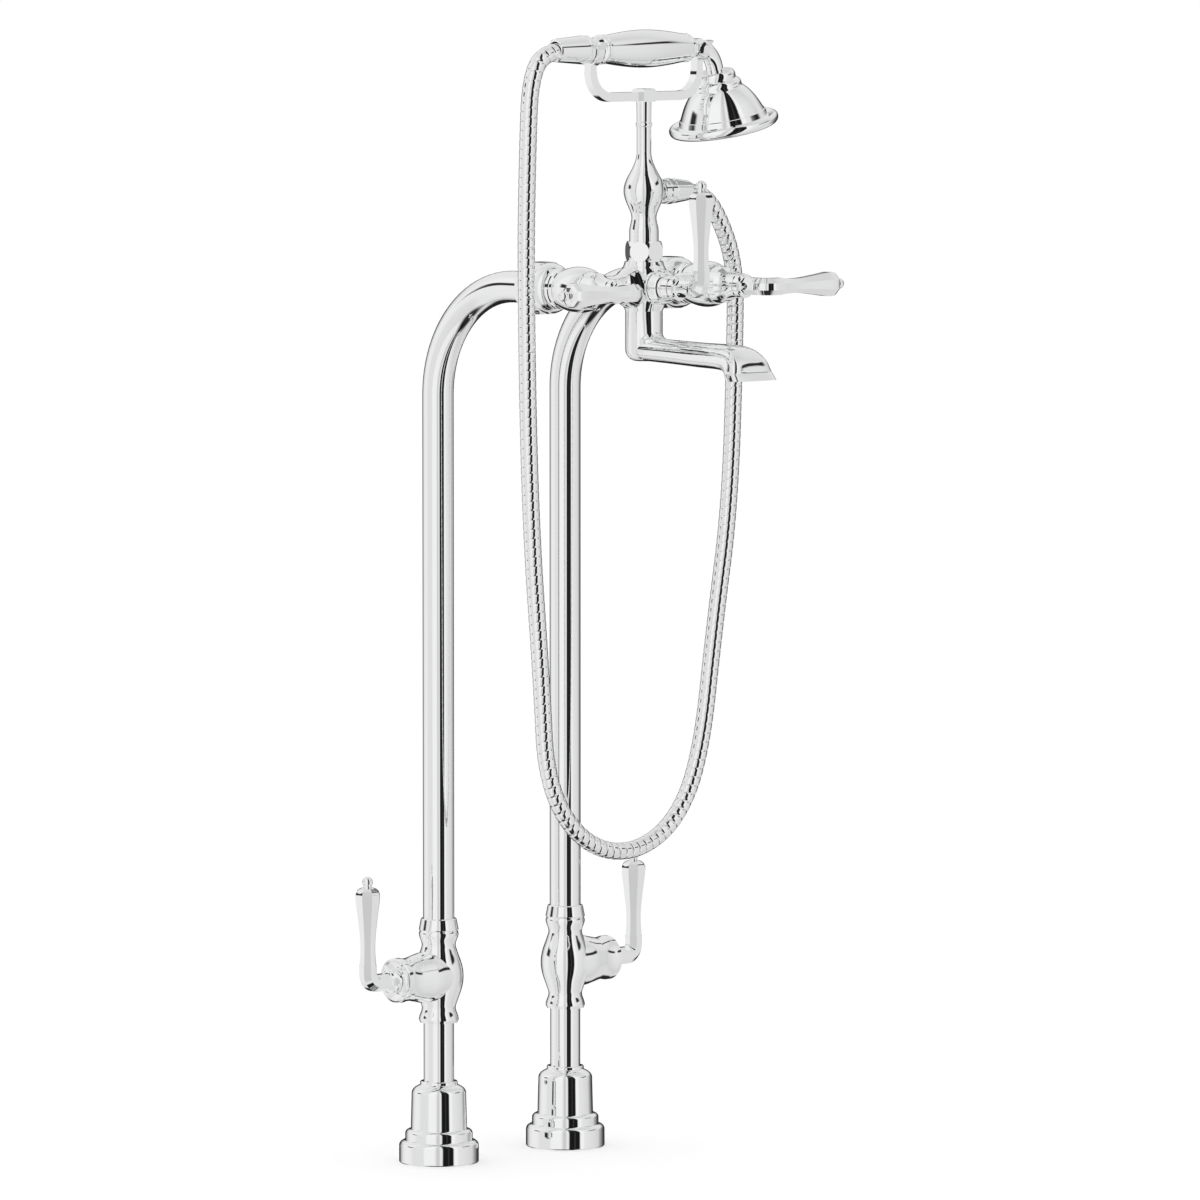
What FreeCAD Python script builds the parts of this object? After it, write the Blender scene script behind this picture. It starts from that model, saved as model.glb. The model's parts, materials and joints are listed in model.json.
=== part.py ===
"""Floor standing bath filler: two supply legs with stop valves carry a mixer with a spout,
a swan column, a cradle and a telephone handset on a ribbed hose.

Millimetres. The origin is on the floor, midway between the two legs; the front is -Y,
+X is the cold side and +Z is up.
"""
import FreeCAD
import Part

import math
import os

os.makedirs("parts", exist_ok=True)
V = FreeCAD.Vector

# ---------------------------------------------------------------- where things stand
CENTRES = 150.0            # between the axes of the two legs
MIXER_HEIGHT = 753.0       # axis of the mixer's arms above the floor
MIXER_REACH = 174.0        # from the legs forward to the mixer's arms
STOP_HEIGHT = 160.0        # axis of the stop valves' bonnets above the floor
OUTLET_RISE = 80.0         # from the mixer's axis up to the axis of the column's hose outlet
HANDSET_RISE = 200.6       # from the mixer's axis up to the axis of the resting handset

# ---------------------------------------------------------------- fits
RUNNING = 0.05             # radial clearance of a shaft in its bore
SLIP = 0.05                # radial clearance of a pipe or screw in its socket
GAP = 0.3                  # between faces that turn or lift past each other

# ---------------------------------------------------------------- pipes
RISER_OD = 26.7
RISER_WALL = 1.5
RISER_BEND = 95.0          # centreline radius of the bend under the mixer
STUB_OD = 26.0
STUB_WALL = 2.5
SOCKET_DEPTH = 8.0         # how far a pipe goes into a stop valve
WASHER_THICK = 2.0
WASHER_BORE = 17.0

# ---------------------------------------------------------------- floor flange and cover
FLANGE_OD = 60.0
FLANGE_THICK = 6.0
FLANGE_HUB_OD = 36.0
FLANGE_HEIGHT = 26.0
FLANGE_HOLE = 5.5
FLANGE_PCD = 48.0
FLANGE_HOLES = 4
INLET_BORE = 18.63         # minor diameter of a G 1/2 inside thread
INLET_DEPTH = 12.0
COVER_OD = 68.2
COVER_STEP_OD = 57.7
COVER_BODY_OD = 48.2
COVER_TOP_OD = 46.6
COVER_COLLAR_OD = 32.1
COVER_HEIGHT = 70.0
COVER_WALL = 1.8
COVER_SCREW_HEIGHT = 57.0

# ---------------------------------------------------------------- valves and levers
STOP_HALF = 39.7           # stop valve body, half its height
STOP_BULGE_OD = 42.4
STOP_RING_OD = 34.0
STOP_NECK_OD = 29.0
STOP_WAY = 19.0            # waterway through the body
STOP_BOSS_END = 31.0       # from the leg's axis to the face that carries the bonnet
STOP_BONNET_OD = 38.2
STOP_BONNET_LENGTH = 20.2
MIXER_SEAT = 14.5          # from the mixer's axis to the face that carries a bonnet
MIXER_BONNET_LENGTH = 25.2
HUB_SEAT = 19.0            # the same for the diverter, on the hub
HUB_SEAT_OD = 31.0
DIVERTER_BONNET_LENGTH = 18.2
CARTRIDGE_OD = 20.8
SPINDLE_OD = 8.0
LEVER_RING_OD = 20.8
LEVER_RING_LENGTH = 6.0
LEVER_NECK = 14.4          # across the flats of the lever's octagonal neck
LEVER_OUT = 31.0           # from the lever's ring face to the axis of its handle
LEVER_LENGTH = 86.8        # from the spindle's axis to the centre of the end ball
LEVER_ELBOW = 9.0          # centreline radius of the lever's elbow
LEVER_BALL = 9.0
SCREW_OD = 4.0             # grub screws

# ---------------------------------------------------------------- unions and mixer body
UNION_AF = 43.5
UNION_BACK = 57.0          # from the mixer's axis back to the far face of the nut
UNION_FRONT = 26.0         # from the mixer's axis back to the near face of the nut
UNION_THREAD = 33.2        # diameter of the threaded tail on the mixer body
TAIL_LIP = 31.0            # diameter of the lip on the riser inside the nut
BALL_OD = 38.8
ARM_OD = 21.0
HUB_OD = 38.0
HUB_TOP = 21.6             # from the mixer's axis up to the face under the column nut
HUB_TOP_OD = 32.4
HUB_BOTTOM = 24.3          # from the mixer's axis down to the spout's seam
SPOUT_OD = 31.7
WAY = 12.0                 # waterways in the mixer

# ---------------------------------------------------------------- spout
SPOUT_DROP = 52.4          # from the mixer's axis down to the axis of the spout's arm
SPOUT_REACH = 137.1        # from the column's axis to the front of the lip
SPOUT_WALL = 2.2
SPOUT_SPIGOT_OD = 23.7     # spout's top in the hub
SPOUT_SPIGOT = 7.0
SPOUT_WAY = 16.0
ARM_WIDTH = 28.8           # the arm is an oval, wider than it is tall
ARM_TALL = 20.0
ROOT_FILLET = 8.0          # in the corner between the upright part and the arm
HEEL_RADIUS = 10.0
MOUTH_WIDTH = 49.0         # side to side
MOUTH_DEPTH = 18.0         # front to back
MOUTH_DROP = 73.8          # from the mixer's axis down to the mouth
LIP_BAND = 6.0             # height of the band round the mouth
LIP_PROUD = 0.5
OVAL_POINTS = 32
OVAL_TURN = 5.0            # degrees between the sections where the arm turns down
GASKET = 1.0
INSERT_LIFT = 18.4         # underside of the flow insert above the arm's axis
INSERT_THICK = 5.0

# ---------------------------------------------------------------- column and cradle
NUT_HEIGHT = 17.0
NUT_AF = 28.5
COLUMN_BASE_OD = 24.8
COLUMN_NECK_OD = 21.0
BULB_OD = 34.3
STEM_OD = 12.2
SPIGOT_OD = 20.0           # column's tail in the hub
SPIGOT_DEPTH = 7.0
BEAD_OD = 14.0
BEAD_DROP = 63.6           # from the handset's axis down to the bead on the column's stem
COLUMN_WAY = 9.0
BAR = 7.6                  # side of the cradle's square bar
BAR_DROP = 40.1            # from the handset's axis down to the axis of the bar's level part
ARM_SPAN = 125.0           # between the two saddles
BAR_BEND = 22.0            # centreline radius of the bar's two bends
BLOCK = 14.0
BLOCK_HEIGHT = 11.0
SADDLE_THICK = 6.8
PRONG = 4.2
PRONG_SPREAD = 17.5        # from the handset's axis out to the tips of the prongs
PRONG_RISE = 6.0           # tips of the prongs above the handset's axis
CRADLE_SCREW_OD = 5.0

# ---------------------------------------------------------------- handset
TAIL_SEAT_OD = 19.0        # the handset's neck in the left saddle
NECK_SEAT_OD = 15.4        # and in the right one
SEAT_LENGTH = 7.8
TAIL_FLANGE_OD = 23.6
TAIL_FLANGE_LENGTH = 5.4
TAIL_FLARE_OD = 24.8
GRIP_HALF = 50.0
GRIP_END_OD = 23.2
GRIP_OD = 32.0
TENON_OD = 16.0            # collar and neck inside the grip's ends
TENON_LENGTH = 8.0
HANDSET_BORE = 9.2
HOSE_NUT_OD = 24.0
HOSE_NUT_END_OD = 19.5
HOSE_NUT_LENGTH = 32.0
HOSE_THREAD_OD = 20.9      # G 1/2 outside thread
HOSE_THREAD_LENGTH = 9.0
NECK_OD = 14.4
NECK_BEND = 22.3
NECK_IN_BELL = 8.0
BELL_TILT = 13.0           # degrees that the rose leans outwards
BELL_RIM = 93.8
BELL_HEIGHT = 45.5         # from the rim's widest circle to the top of the collar
BELL_DROP = 64.8           # from the handset's axis down to the rim's centre
BELL_OUT = 94.4            # from the column's axis out to the rim's centre
PLATE_OD = 82.0
PLATE_THICK = 3.0
NOZZLE_OD = 2.6
NOZZLE_BORE = 1.0
NOZZLE_RINGS = {10.0: 6, 18.0: 12, 26.0: 18, 34.0: 24}

# ---------------------------------------------------------------- hose
HOSE_OD = 14.4
HOSE_GROOVE_OD = 13.2
HOSE_BORE = 8.0
RIB_PITCH = 8.65
RIB_BAND = 6.4             # of each pitch, the part that stands out
RIB_EDGE = 0.5             # slope at each side of a band
HOSE_SOCKET = 14.4         # straight end of the hose inside each nut
OUTLET_NUT_START = 23.8    # from the column's axis to the outlet's hose nut
OUTLET_NUT_LENGTH = 28.2
OUTLET_OD = 20.6
OUTLET_NUT_OD = 22.0
OUTLET_NUT_END_OD = 16.8
HOSE_CORNERS = 0.45        # share of the shorter run that each corner's arc takes
# Corners of the hose's route between its two straight ends: to the side, and down from the handset.
HOSE_ROUTE = [(-115.4, 0), (-132.0, 22.3), (-135.2, 76.5), (-137.8, 182.5), (-132.9, 387.5), (-119.2, 530.2),
              (-114.2, 613.1), (-75.6, 665.2), (-19.2, 681.4), (35.4, 659.7), (67.5, 605.7), (84.6, 489.3),
              (102.5, 390.1), (108.3, 254.3), (108.8, 184.5), (86.3, 138.4), (63.8, 0)]

# ---------------------------------------------------------------- places worked out
LEG_X = {"left": -CENTRES / 2, "right": CENTRES / 2}
OUTWARD = {"left": V(-1, 0, 0), "right": V(1, 0, 0)}
FRONT = V(0, -1, 0)
UP = V(0, 0, 1)
MIXER_Y = -MIXER_REACH
OUTLET_HEIGHT = MIXER_HEIGHT + OUTLET_RISE
HANDSET_HEIGHT = MIXER_HEIGHT + HANDSET_RISE
BAR_HEIGHT = HANDSET_HEIGHT - BAR_DROP
BEAD_HEIGHT = HANDSET_HEIGHT - BEAD_DROP
VALVE_BOTTOM = STOP_HEIGHT - STOP_HALF
VALVE_TOP = STOP_HEIGHT + STOP_HALF


def save(shape, name):
    """Write one sub-part."""
    shape.exportStep("parts/" + name + ".step")
    solids = shape.Solids
    print(f"{name:26s} {len(solids):3d} solids {shape.Volume:12.1f} mm3 {'valid' if shape.isValid() else 'BAD'}")


# ---------------------------------------------------------------- shape helpers
def turned(*steps):
    """A solid turned about Z. A step is a corner (radius, height), or a list of points
    that one smooth curve runs through from the corner before it."""
    edges = []
    here = steps[0]
    for step in steps[1:] + (steps[0],):
        run = step if isinstance(step, list) else [step]
        points = [V(r, 0, h) for r, h in [here] + run]
        if len(points) == 2:
            edges.append(Part.makeLine(points[0], points[1]))
        else:
            curve = Part.BSplineCurve()
            curve.interpolate(points)
            edges.append(curve.toShape())
        here = run[-1]
    face = Part.Face(Part.Wire(edges))
    solid = face.revolve(V(0, 0, 0), UP, 360)
    return upright(solid)


def upright(solid):
    """The same solid with its skin facing outwards."""
    if solid.Volume < 0:
        solid.reverse()
    return solid


def quarter(r0, h0, r1, h1):
    """Points of a quarter ellipse that leaves (r0, h0) upright and meets (r1, h1) level."""
    turns = [math.radians(a) for a in (30, 60, 90)]
    return [(r1 + (r0 - r1) * math.cos(t), h0 + (h1 - h0) * math.sin(t)) for t in turns]


def rod(radius, start, end):
    """A round bar along Z between two heights."""
    return Part.makeCylinder(radius, end - start, V(0, 0, start))


def ring(outer, inner, start, end):
    """A plain ring or tube along Z."""
    return rod(outer, start, end).cut(rod(inner, start - 1, end + 1))


def prism(flats, sides, start, end, first_corner=None):
    """A regular prism along Z, given across its flats; one flat faces +X by default."""
    radius = flats / 2 / math.cos(math.pi / sides)
    turn = math.pi / sides if first_corner is None else first_corner
    corners = [polar(radius, turn + 2 * math.pi * k / sides, start) for k in range(sides)]
    wire = Part.makePolygon(corners + [corners[0]])
    return Part.Face(wire).extrude(V(0, 0, end - start))


def polar(radius, angle, height=0.0):
    """A point at a radius and an angle about Z."""
    return V(radius * math.cos(angle), radius * math.sin(angle), height)


def aim(shape, origin, along, spin=0.0):
    """A copy of a shape made along Z, set at origin and pointed along a direction."""
    turn = FreeCAD.Rotation(UP, along)
    roll = FreeCAD.Rotation(UP, spin)
    moved = shape.copy()
    moved.Placement = FreeCAD.Placement(origin, turn.multiply(roll)).multiply(shape.Placement)
    return moved


def swept(profile, path):
    """A solid swept along a path of lines and arcs."""
    return upright(path.makePipeShell([profile], True, False))


def fuse(first, *others):
    """Join shapes into one piece and drop the seams between them."""
    return first.fuse(list(others)).removeSplitter()


# ---------------------------------------------------------------- floor flange and cover
def floor_flange():
    """A screwed-down flange: the supply enters its thread from below, the stub pipe from above."""
    body = fuse(rod(FLANGE_OD / 2, 0, FLANGE_THICK), rod(FLANGE_HUB_OD / 2, 0, FLANGE_HEIGHT))
    body = body.cut(rod(INLET_BORE / 2, -1, INLET_DEPTH + 1))
    body = body.cut(rod(STUB_OD / 2 + SLIP, INLET_DEPTH, FLANGE_HEIGHT + 1))
    for k in range(FLANGE_HOLES):
        place = polar(FLANGE_PCD / 2, math.pi * (2 * k + 1) / FLANGE_HOLES)
        hole = rod(FLANGE_HOLE / 2, -1, FLANGE_THICK + 1)
        hole.translate(place)
        body = body.cut(hole)
    return body


def base_cover(outward):
    """The stepped bell over the flange, with a grub screw hole in its inner side."""
    foot, step, body, top = COVER_OD / 2, COVER_STEP_OD / 2, COVER_BODY_OD / 2, COVER_TOP_OD / 2
    collar = COVER_COLLAR_OD / 2
    wall = COVER_WALL
    outside = turned((0, 0), (foot - 0.8, 0), (foot, 0.8), (foot, 14.5), quarter(foot, 14.5, step, 19.3),
                     (step, 25.0), quarter(step, 25.0, body, 28.8), (top, 60.2),
                     [(top - 1.6, 63.4), (top - 4.6, 65.6), (collar + 0.5, 66.6)], (collar, 67.2),
                     (collar, COVER_HEIGHT - 0.6), (collar - 0.6, COVER_HEIGHT), (0, COVER_HEIGHT))
    inside = turned((0, -1), (foot - wall, -1), (foot - wall, 14.0), (step - wall, 18.0),
                    (step - wall, 23.5), (body - wall, 27.5), (top - wall, 60.0),
                    (top - wall - 4.5, 64.4), (0, 64.4))
    shell = outside.cut(inside).cut(rod(STUB_OD / 2 + SLIP, 60, COVER_HEIGHT + 1))
    hole = aim(rod(SCREW_OD / 2 + SLIP, 0, foot), V(0, 0, COVER_SCREW_HEIGHT), -outward)
    return shell.cut(hole)


def cover_screw(outward):
    """The grub screw that clamps the cover to the stub pipe."""
    screw = rod(SCREW_OD / 2, STUB_OD / 2, COVER_TOP_OD / 2 - 0.9)
    socket = prism(2.0, 6, COVER_TOP_OD / 2 - 2.9, COVER_TOP_OD / 2)
    return aim(screw.cut(socket), V(0, 0, COVER_SCREW_HEIGHT), -outward)


# ---------------------------------------------------------------- stop valve
def stop_body(outward):
    """Bulbous body on the leg's axis with a boss for the bonnet, all bored through."""
    bulge, end, neck, half = STOP_BULGE_OD / 2, STOP_RING_OD / 2, STOP_NECK_OD / 2, STOP_HALF
    side = [(end, 37.2), (end - 0.5, 34.0), (neck + 0.4, 29.6), (neck, 26.6), (neck + 0.8, 23.4)]
    side += [(bulge - 4.4, 19.0), (bulge - 1.6, 11.0), (bulge, 0.0)]
    lower = [(r, -h) for r, h in reversed(side)]
    body = turned((0, -half), (end - 1.2, -half), lower[-1], lower[-2::-1] + side[-2::-1],
                  (end - 1.2, half), (0, half))
    boss = turned((0, 0), (bulge - 0.1, 0), [(bulge + 0.3, 8.0), (bulge + 0.7, 15.0), (bulge + 0.4, 20.0)],
                  (STOP_BONNET_OD / 2 + 0.3, STOP_BOSS_END), (0, STOP_BOSS_END))
    body = fuse(body, aim(boss, V(0, 0, 0), outward))
    bored = body.cut(rod(STOP_WAY / 2, -half - 1, half + 1))
    bored = bored.cut(rod(STUB_OD / 2 + SLIP, -half - 1, SOCKET_DEPTH - half))
    bored = bored.cut(rod(RISER_OD / 2 + SLIP, half - SOCKET_DEPTH, half + 1))
    chamber = rod(CARTRIDGE_OD / 2 + SLIP, 0, STOP_BOSS_END + 1)
    return bored.cut(aim(chamber, V(0, 0, 0), outward))


def cartridge(seat):
    """Ceramic disc cartridge: its screwed barrel fills the valve's chamber, its flange sits on the
    seat face and its stem guide stands out. Made along Z from the valve's axis."""
    barrel = CARTRIDGE_OD / 2
    body = fuse(rod(barrel, seat - 12.0, seat), rod(barrel + 2.2, seat, seat + 3.0),
                rod(7.0, seat, seat + 11.0))
    return body.cut(rod(SPINDLE_OD / 2 + RUNNING, seat - 6.0, seat + 12.0))


def spindle(seat, ring_face):
    """The turning stem, from inside the cartridge to inside the lever's neck."""
    stem = rod(SPINDLE_OD / 2, seat - 5.5, ring_face + LEVER_OUT - LEVER_ELBOW - 4.0)
    return stem


def stop_bonnet():
    """The stop valve's drum-shaped bonnet, with a raised ring in its dished end."""
    wide, start = STOP_BONNET_OD / 2, STOP_BOSS_END
    end = start + STOP_BONNET_LENGTH
    small = LEVER_RING_OD / 2 + 0.3
    drum = turned((0, start), (wide + 0.2, start), [(wide - 0.7, start + 5.0), (wide - 0.8, start + 9.5),
                  (wide, start + 15.0)], (wide, end - 1.0), (wide - 0.8, end - 0.2), (wide - 1.6, end - 0.4),
                  [(wide - 4.0, end - 2.6), (small, end - 4.6)], (small, end - 0.4), (small - 0.4, end), (0, end))
    cavity = rod(CARTRIDGE_OD / 2 + 3.0, start - 1, end - 5.0)
    return drum.cut(cavity).cut(rod(SPINDLE_OD / 2 + 1.0, start, end + 1))


def mixer_bonnet():
    """The mixer's trumpet-shaped bonnet, from its seat out to the lever's ring."""
    start, end = MIXER_SEAT, MIXER_SEAT + MIXER_BONNET_LENGTH
    small = LEVER_RING_OD / 2
    skirt = small + 5.3
    shell = turned((0, start), (skirt, start), (skirt - 0.8, start + 7.5), (skirt - 1.5, start + 8.6),
                   [(small + 1.2, start + 14.5), (small + 0.2, start + 20.0), (small, end - 0.6)],
                   (small - 0.6, end), (0, end))
    cavity = turned((0, start - 1), (CARTRIDGE_OD / 2 + 2.4, start - 1), (CARTRIDGE_OD / 2 + 2.4, start + 6.0),
                    (7.6, start + 13.0), (7.6, end - 5.0), (0, end - 5.0))
    return shell.cut(cavity).cut(rod(SPINDLE_OD / 2 + 1.0, start, end + 1))


def diverter_bonnet():
    """The diverter's stepped ring bonnet on the front of the hub."""
    start, end = HUB_SEAT, HUB_SEAT + DIVERTER_BONNET_LENGTH
    small = LEVER_RING_OD / 2
    shell = turned((0, start), (small + 4.4, start), (small + 3.4, start + 7.2), (small + 2.7, start + 8.3),
                   [(small + 1.0, start + 9.6), (small + 0.3, start + 12.0)], (small + 0.2, end - 0.5),
                   (small - 0.3, end), (0, end))
    cavity = rod(CARTRIDGE_OD / 2 + 2.4, start - 1, start + 6.0)
    guide = rod(7.6, start, start + 13.0)
    return shell.cut(cavity).cut(guide).cut(rod(SPINDLE_OD / 2 + 1.0, start, end + 1))


def octagon(flats, centre, along, flat_side):
    """An octagonal wire about centre, square to a direction, with a flat facing flat_side."""
    radius = flats / 2 / math.cos(math.pi / 8)
    other = along.cross(flat_side)
    turns = [math.pi / 8 + math.pi / 4 * k for k in range(8)]
    corners = [centre + flat_side * (radius * math.cos(t)) + other * (radius * math.sin(t)) for t in turns]
    return Part.makePolygon(corners + [corners[0]])


def lever():
    """The lever, one casting: ring, octagonal neck, elbow, waisted octagonal handle and end ball.
    Its spindle axis is Z from the ring's face at 0, and the handle points along +X."""
    ring_end = LEVER_RING_LENGTH
    hub = turned((0, 0), (LEVER_RING_OD / 2 - 0.5, 0), (LEVER_RING_OD / 2, 0.5),
                 (LEVER_RING_OD / 2, ring_end - 0.7), (LEVER_RING_OD / 2 - 0.7, ring_end),
                 (LEVER_NECK / 2 + 1.6, ring_end), (LEVER_NECK / 2 + 1.6, ring_end + 1.0), (0, ring_end + 1.6))
    seam = 15.9
    centre = V(LEVER_ELBOW, 0, LEVER_OUT - LEVER_ELBOW)
    middle = centre + V(-LEVER_ELBOW, 0, LEVER_ELBOW) * math.sqrt(0.5)
    neck_path = Part.Wire([
        Part.makeLine(V(0, 0, ring_end), V(0, 0, LEVER_OUT - LEVER_ELBOW)),
        Part.Arc(V(0, 0, LEVER_OUT - LEVER_ELBOW), middle, V(LEVER_ELBOW, 0, LEVER_OUT)).toShape(),
        Part.makeLine(V(LEVER_ELBOW, 0, LEVER_OUT), V(seam, 0, LEVER_OUT))])
    neck = swept(octagon(LEVER_NECK, V(0, 0, ring_end), UP, V(0, 1, 0)), neck_path)
    sections = [(seam, 13.9), (31.0, 12.3), (42.0, 13.4), (53.0, 15.8), (64.0, 18.5), (72.0, 20.3), (76.5, 20.2)]
    wires = [octagon(flats, V(x, 0, LEVER_OUT), V(1, 0, 0), V(0, 1, 0)) for x, flats in sections]
    handle = upright(Part.makeLoft(wires, True, False))
    dome = [(76.5, 20.2), (79.4, 18.0), (81.4, 13.4), (82.4, 6.0)]
    caps = [octagon(flats, V(x, 0, LEVER_OUT), V(1, 0, 0), V(0, 1, 0)) for x, flats in dome]
    shoulder = upright(Part.makeLoft(caps, True, True))
    ball = Part.makeSphere(LEVER_BALL / 2, V(LEVER_LENGTH, 0, LEVER_OUT))
    pin = Part.makeCylinder(3.2, LEVER_LENGTH - 80.0, V(80.0, 0, LEVER_OUT), V(1, 0, 0))
    body = hub.fuse([neck, handle, shoulder, pin, ball])
    body = body.cut(rod(SPINDLE_OD / 2, -1, LEVER_OUT - LEVER_ELBOW - 4.0))
    return body.cut(lever_screw_hole())


LEVER_SCREW_AT = 13.5      # from the lever's ring face to its grub screw


def lever_screw_hole():
    """The threaded hole of the lever's grub screw, on the side away from the handle."""
    return Part.makeCylinder(SCREW_OD / 2 + SLIP, LEVER_NECK, V(0, 0, LEVER_SCREW_AT), V(-1, 0, 0))


def lever_screw():
    """The grub screw that holds the lever on its spindle."""
    length = LEVER_NECK / 2 - SPINDLE_OD / 2 - 0.4
    screw = Part.makeCylinder(SCREW_OD / 2, length, V(-SPINDLE_OD / 2, 0, LEVER_SCREW_AT), V(-1, 0, 0))
    socket = aim(prism(2.0, 6, 0, 2.0), V(-SPINDLE_OD / 2 - length + 1.8, 0, LEVER_SCREW_AT), V(-1, 0, 0))
    return screw.cut(socket)


def facing(shape, origin, along, handle):
    """A lever shape (spindle Z, handle +X) set so that Z points along and +X points to handle."""
    side = along.cross(handle)
    matrix = FreeCAD.Matrix(handle.x, side.x, along.x, origin.x, handle.y, side.y, along.y, origin.y,
                            handle.z, side.z, along.z, origin.z, 0, 0, 0, 1)
    moved = shape.copy()
    moved.Placement = FreeCAD.Placement(matrix).multiply(shape.Placement)
    return moved


def valve(name, origin, along, handle, seat, ring_face, bonnet):
    """Write one valve's bonnet, cartridge, spindle, lever and lever screw."""
    save(aim(bonnet, origin, along), name + "_bonnet")
    save(aim(cartridge(seat), origin, along), name + "_cartridge")
    save(aim(spindle(seat, ring_face), origin, along), name + "_spindle")
    hand = origin + along * (ring_face + GAP)
    save(facing(LEVER, hand, along, handle), name + "_lever")
    save(facing(LEVER_SCREW, hand, along, handle), name + "_lever_screw")


# ---------------------------------------------------------------- riser, collar and union
def riser(x):
    """The bent pipe from the stop valve up and forward into the union, with its end lip."""
    bottom = V(x, 0, VALVE_TOP - SOCKET_DEPTH + WASHER_THICK)
    bend_start = V(x, 0, MIXER_HEIGHT - RISER_BEND)
    bend_end = V(x, -RISER_BEND, MIXER_HEIGHT)
    share = RISER_BEND * (1 - math.sqrt(0.5))
    bend_middle = V(x, -share, MIXER_HEIGHT - share)
    end = V(x, MIXER_Y + UNION_FRONT + 9.5, MIXER_HEIGHT)

    def tube(radius, extra):
        low = bottom - V(0, 0, extra)
        far = end - V(0, extra, 0)
        path = Part.Wire([Part.makeLine(low, bend_start), Part.Arc(bend_start, bend_middle, bend_end).toShape(),
                          Part.makeLine(bend_end, far)])
        circle = Part.Wire([Part.makeCircle(radius, low, UP)])
        return swept(circle, path)

    lip = aim(rod(TAIL_LIP / 2, 0, 3.0), end + V(0, 3.0, 0), FRONT)
    return tube(RISER_OD / 2, 0).fuse(lip).cut(tube(RISER_OD / 2 - RISER_WALL, 2))


def riser_collar():
    """The tapered collar on top of the stop valve, round the riser."""
    wide, narrow, height = STOP_RING_OD / 2, 15.3, 10.2
    body = turned((0, 0), (wide - 0.4, 0), (wide, 0.6), (narrow, height - 0.8), (narrow - 0.7, height), (0, height))
    return body.cut(rod(RISER_OD / 2 + SLIP, -1, height + 1))


def union_nut():
    """The octagonal union nut: made along Z, which points back from the mixer's axis."""
    near, far = UNION_FRONT, UNION_BACK
    shoulder = near + 11.0
    body = prism(UNION_AF, 8, shoulder, far)
    corner = UNION_AF / 2 / math.cos(math.pi / 8)
    rounding = turned((0, near), (17.6, near), [(19.8, near + 3.0), (UNION_AF / 2 - 0.2, shoulder - 1.5)],
                      (corner, shoulder + 2.2), (corner, far - 1.4), (corner - 2.4, far), (0, far))
    front = turned((0, near), (17.6, near), [(19.8, near + 3.0), (UNION_AF / 2 - 0.2, shoulder - 1.5)],
                   (UNION_AF / 2 - 0.1, shoulder), (0, shoulder))
    body = body.common(rounding).fuse(front)
    cavity = rod(UNION_THREAD / 2 + SLIP, near - 1, near + 9.5 + 3.0)
    return body.cut(cavity).cut(rod(RISER_OD / 2 + SLIP, near, far + 1))


# ---------------------------------------------------------------- mixer body
def mixer_body():
    """Hub, two flared arms, two bulb ends with union tails and bonnet seats, bored through."""
    hub = turned((0, -HUB_BOTTOM), (SPOUT_OD / 2, -HUB_BOTTOM), (SPOUT_OD / 2, -20.0),
                 [(SPOUT_OD / 2 + 1.6, -16.5), (HUB_OD / 2, -12.0)], (HUB_OD / 2, 12.5),
                 [(HUB_OD / 2 - 0.3, 15.0), (HUB_TOP_OD / 2 + 1.2, 17.6)], (HUB_TOP_OD / 2, HUB_TOP), (0, HUB_TOP))
    seat = rod(HUB_SEAT_OD / 2, 0, HUB_SEAT)
    pieces = [aim(seat, V(0, 0, 0), FRONT)]
    for side in OUTWARD:
        arm = turned((0, 0), (HUB_OD / 2 - 1.2, 0), (HUB_OD / 2 - 1.2, 17.5), (HUB_OD / 2 - 2.8, 20.6),
                     [(14.0, 24.0), (11.2, 31.0), (ARM_OD / 2, 40.0)], (ARM_OD / 2, CENTRES / 2), (0, CENTRES / 2))
        pieces.append(aim(arm, V(0, 0, 0), OUTWARD[side]))
        pieces.append(aim(mixer_end(), V(LEG_X[side], 0, 0), FRONT))
    body = hub.fuse(pieces)
    body = body.cut(rod(WAY / 2, -HUB_BOTTOM - 1, HUB_TOP + 1))
    body = body.cut(rod(SPOUT_SPIGOT_OD / 2 + SLIP, -HUB_BOTTOM - 1, -HUB_BOTTOM + SPOUT_SPIGOT + GASKET))
    body = body.cut(rod(SPIGOT_OD / 2 + SLIP, HUB_TOP - SPIGOT_DEPTH - GASKET, HUB_TOP + 1))
    across = aim(rod(WAY / 2, -CENTRES / 2, CENTRES / 2), V(0, 0, 0), V(1, 0, 0))
    body = body.cut(across).cut(aim(rod(CARTRIDGE_OD / 2 + SLIP, 6.5, HUB_SEAT + 1), V(0, 0, 0), FRONT))
    for side in LEG_X:
        place = V(LEG_X[side], 0, 0)
        body = body.cut(aim(rod(CARTRIDGE_OD / 2 + SLIP, 0, MIXER_SEAT + 1), place, FRONT))
        body = body.cut(aim(rod(WAY / 2 + 2.0, 0, UNION_FRONT + 8.0), place, V(0, 1, 0)))
    body.translate(V(0, MIXER_Y, MIXER_HEIGHT))
    return body


def mixer_end():
    """One bulb end, made along Z, which points forward: threaded tail, two thin rings, bulb, seat."""
    ball = BALL_OD / 2
    tail = -UNION_FRONT - 7.5
    return turned((0, tail), (UNION_THREAD / 2, tail), (UNION_THREAD / 2, -25.4), (17.2, -25.0), (17.2, -22.0),
                  (16.2, -21.4), (16.2, -20.2), (17.2, -19.6), (17.2, -17.2), (16.6, -16.6),
                  [(18.4, -9.5), (ball, 0.0), (18.7, 7.0), (16.4, MIXER_SEAT - 0.5)],
                  (16.0, MIXER_SEAT), (0, MIXER_SEAT))


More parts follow.
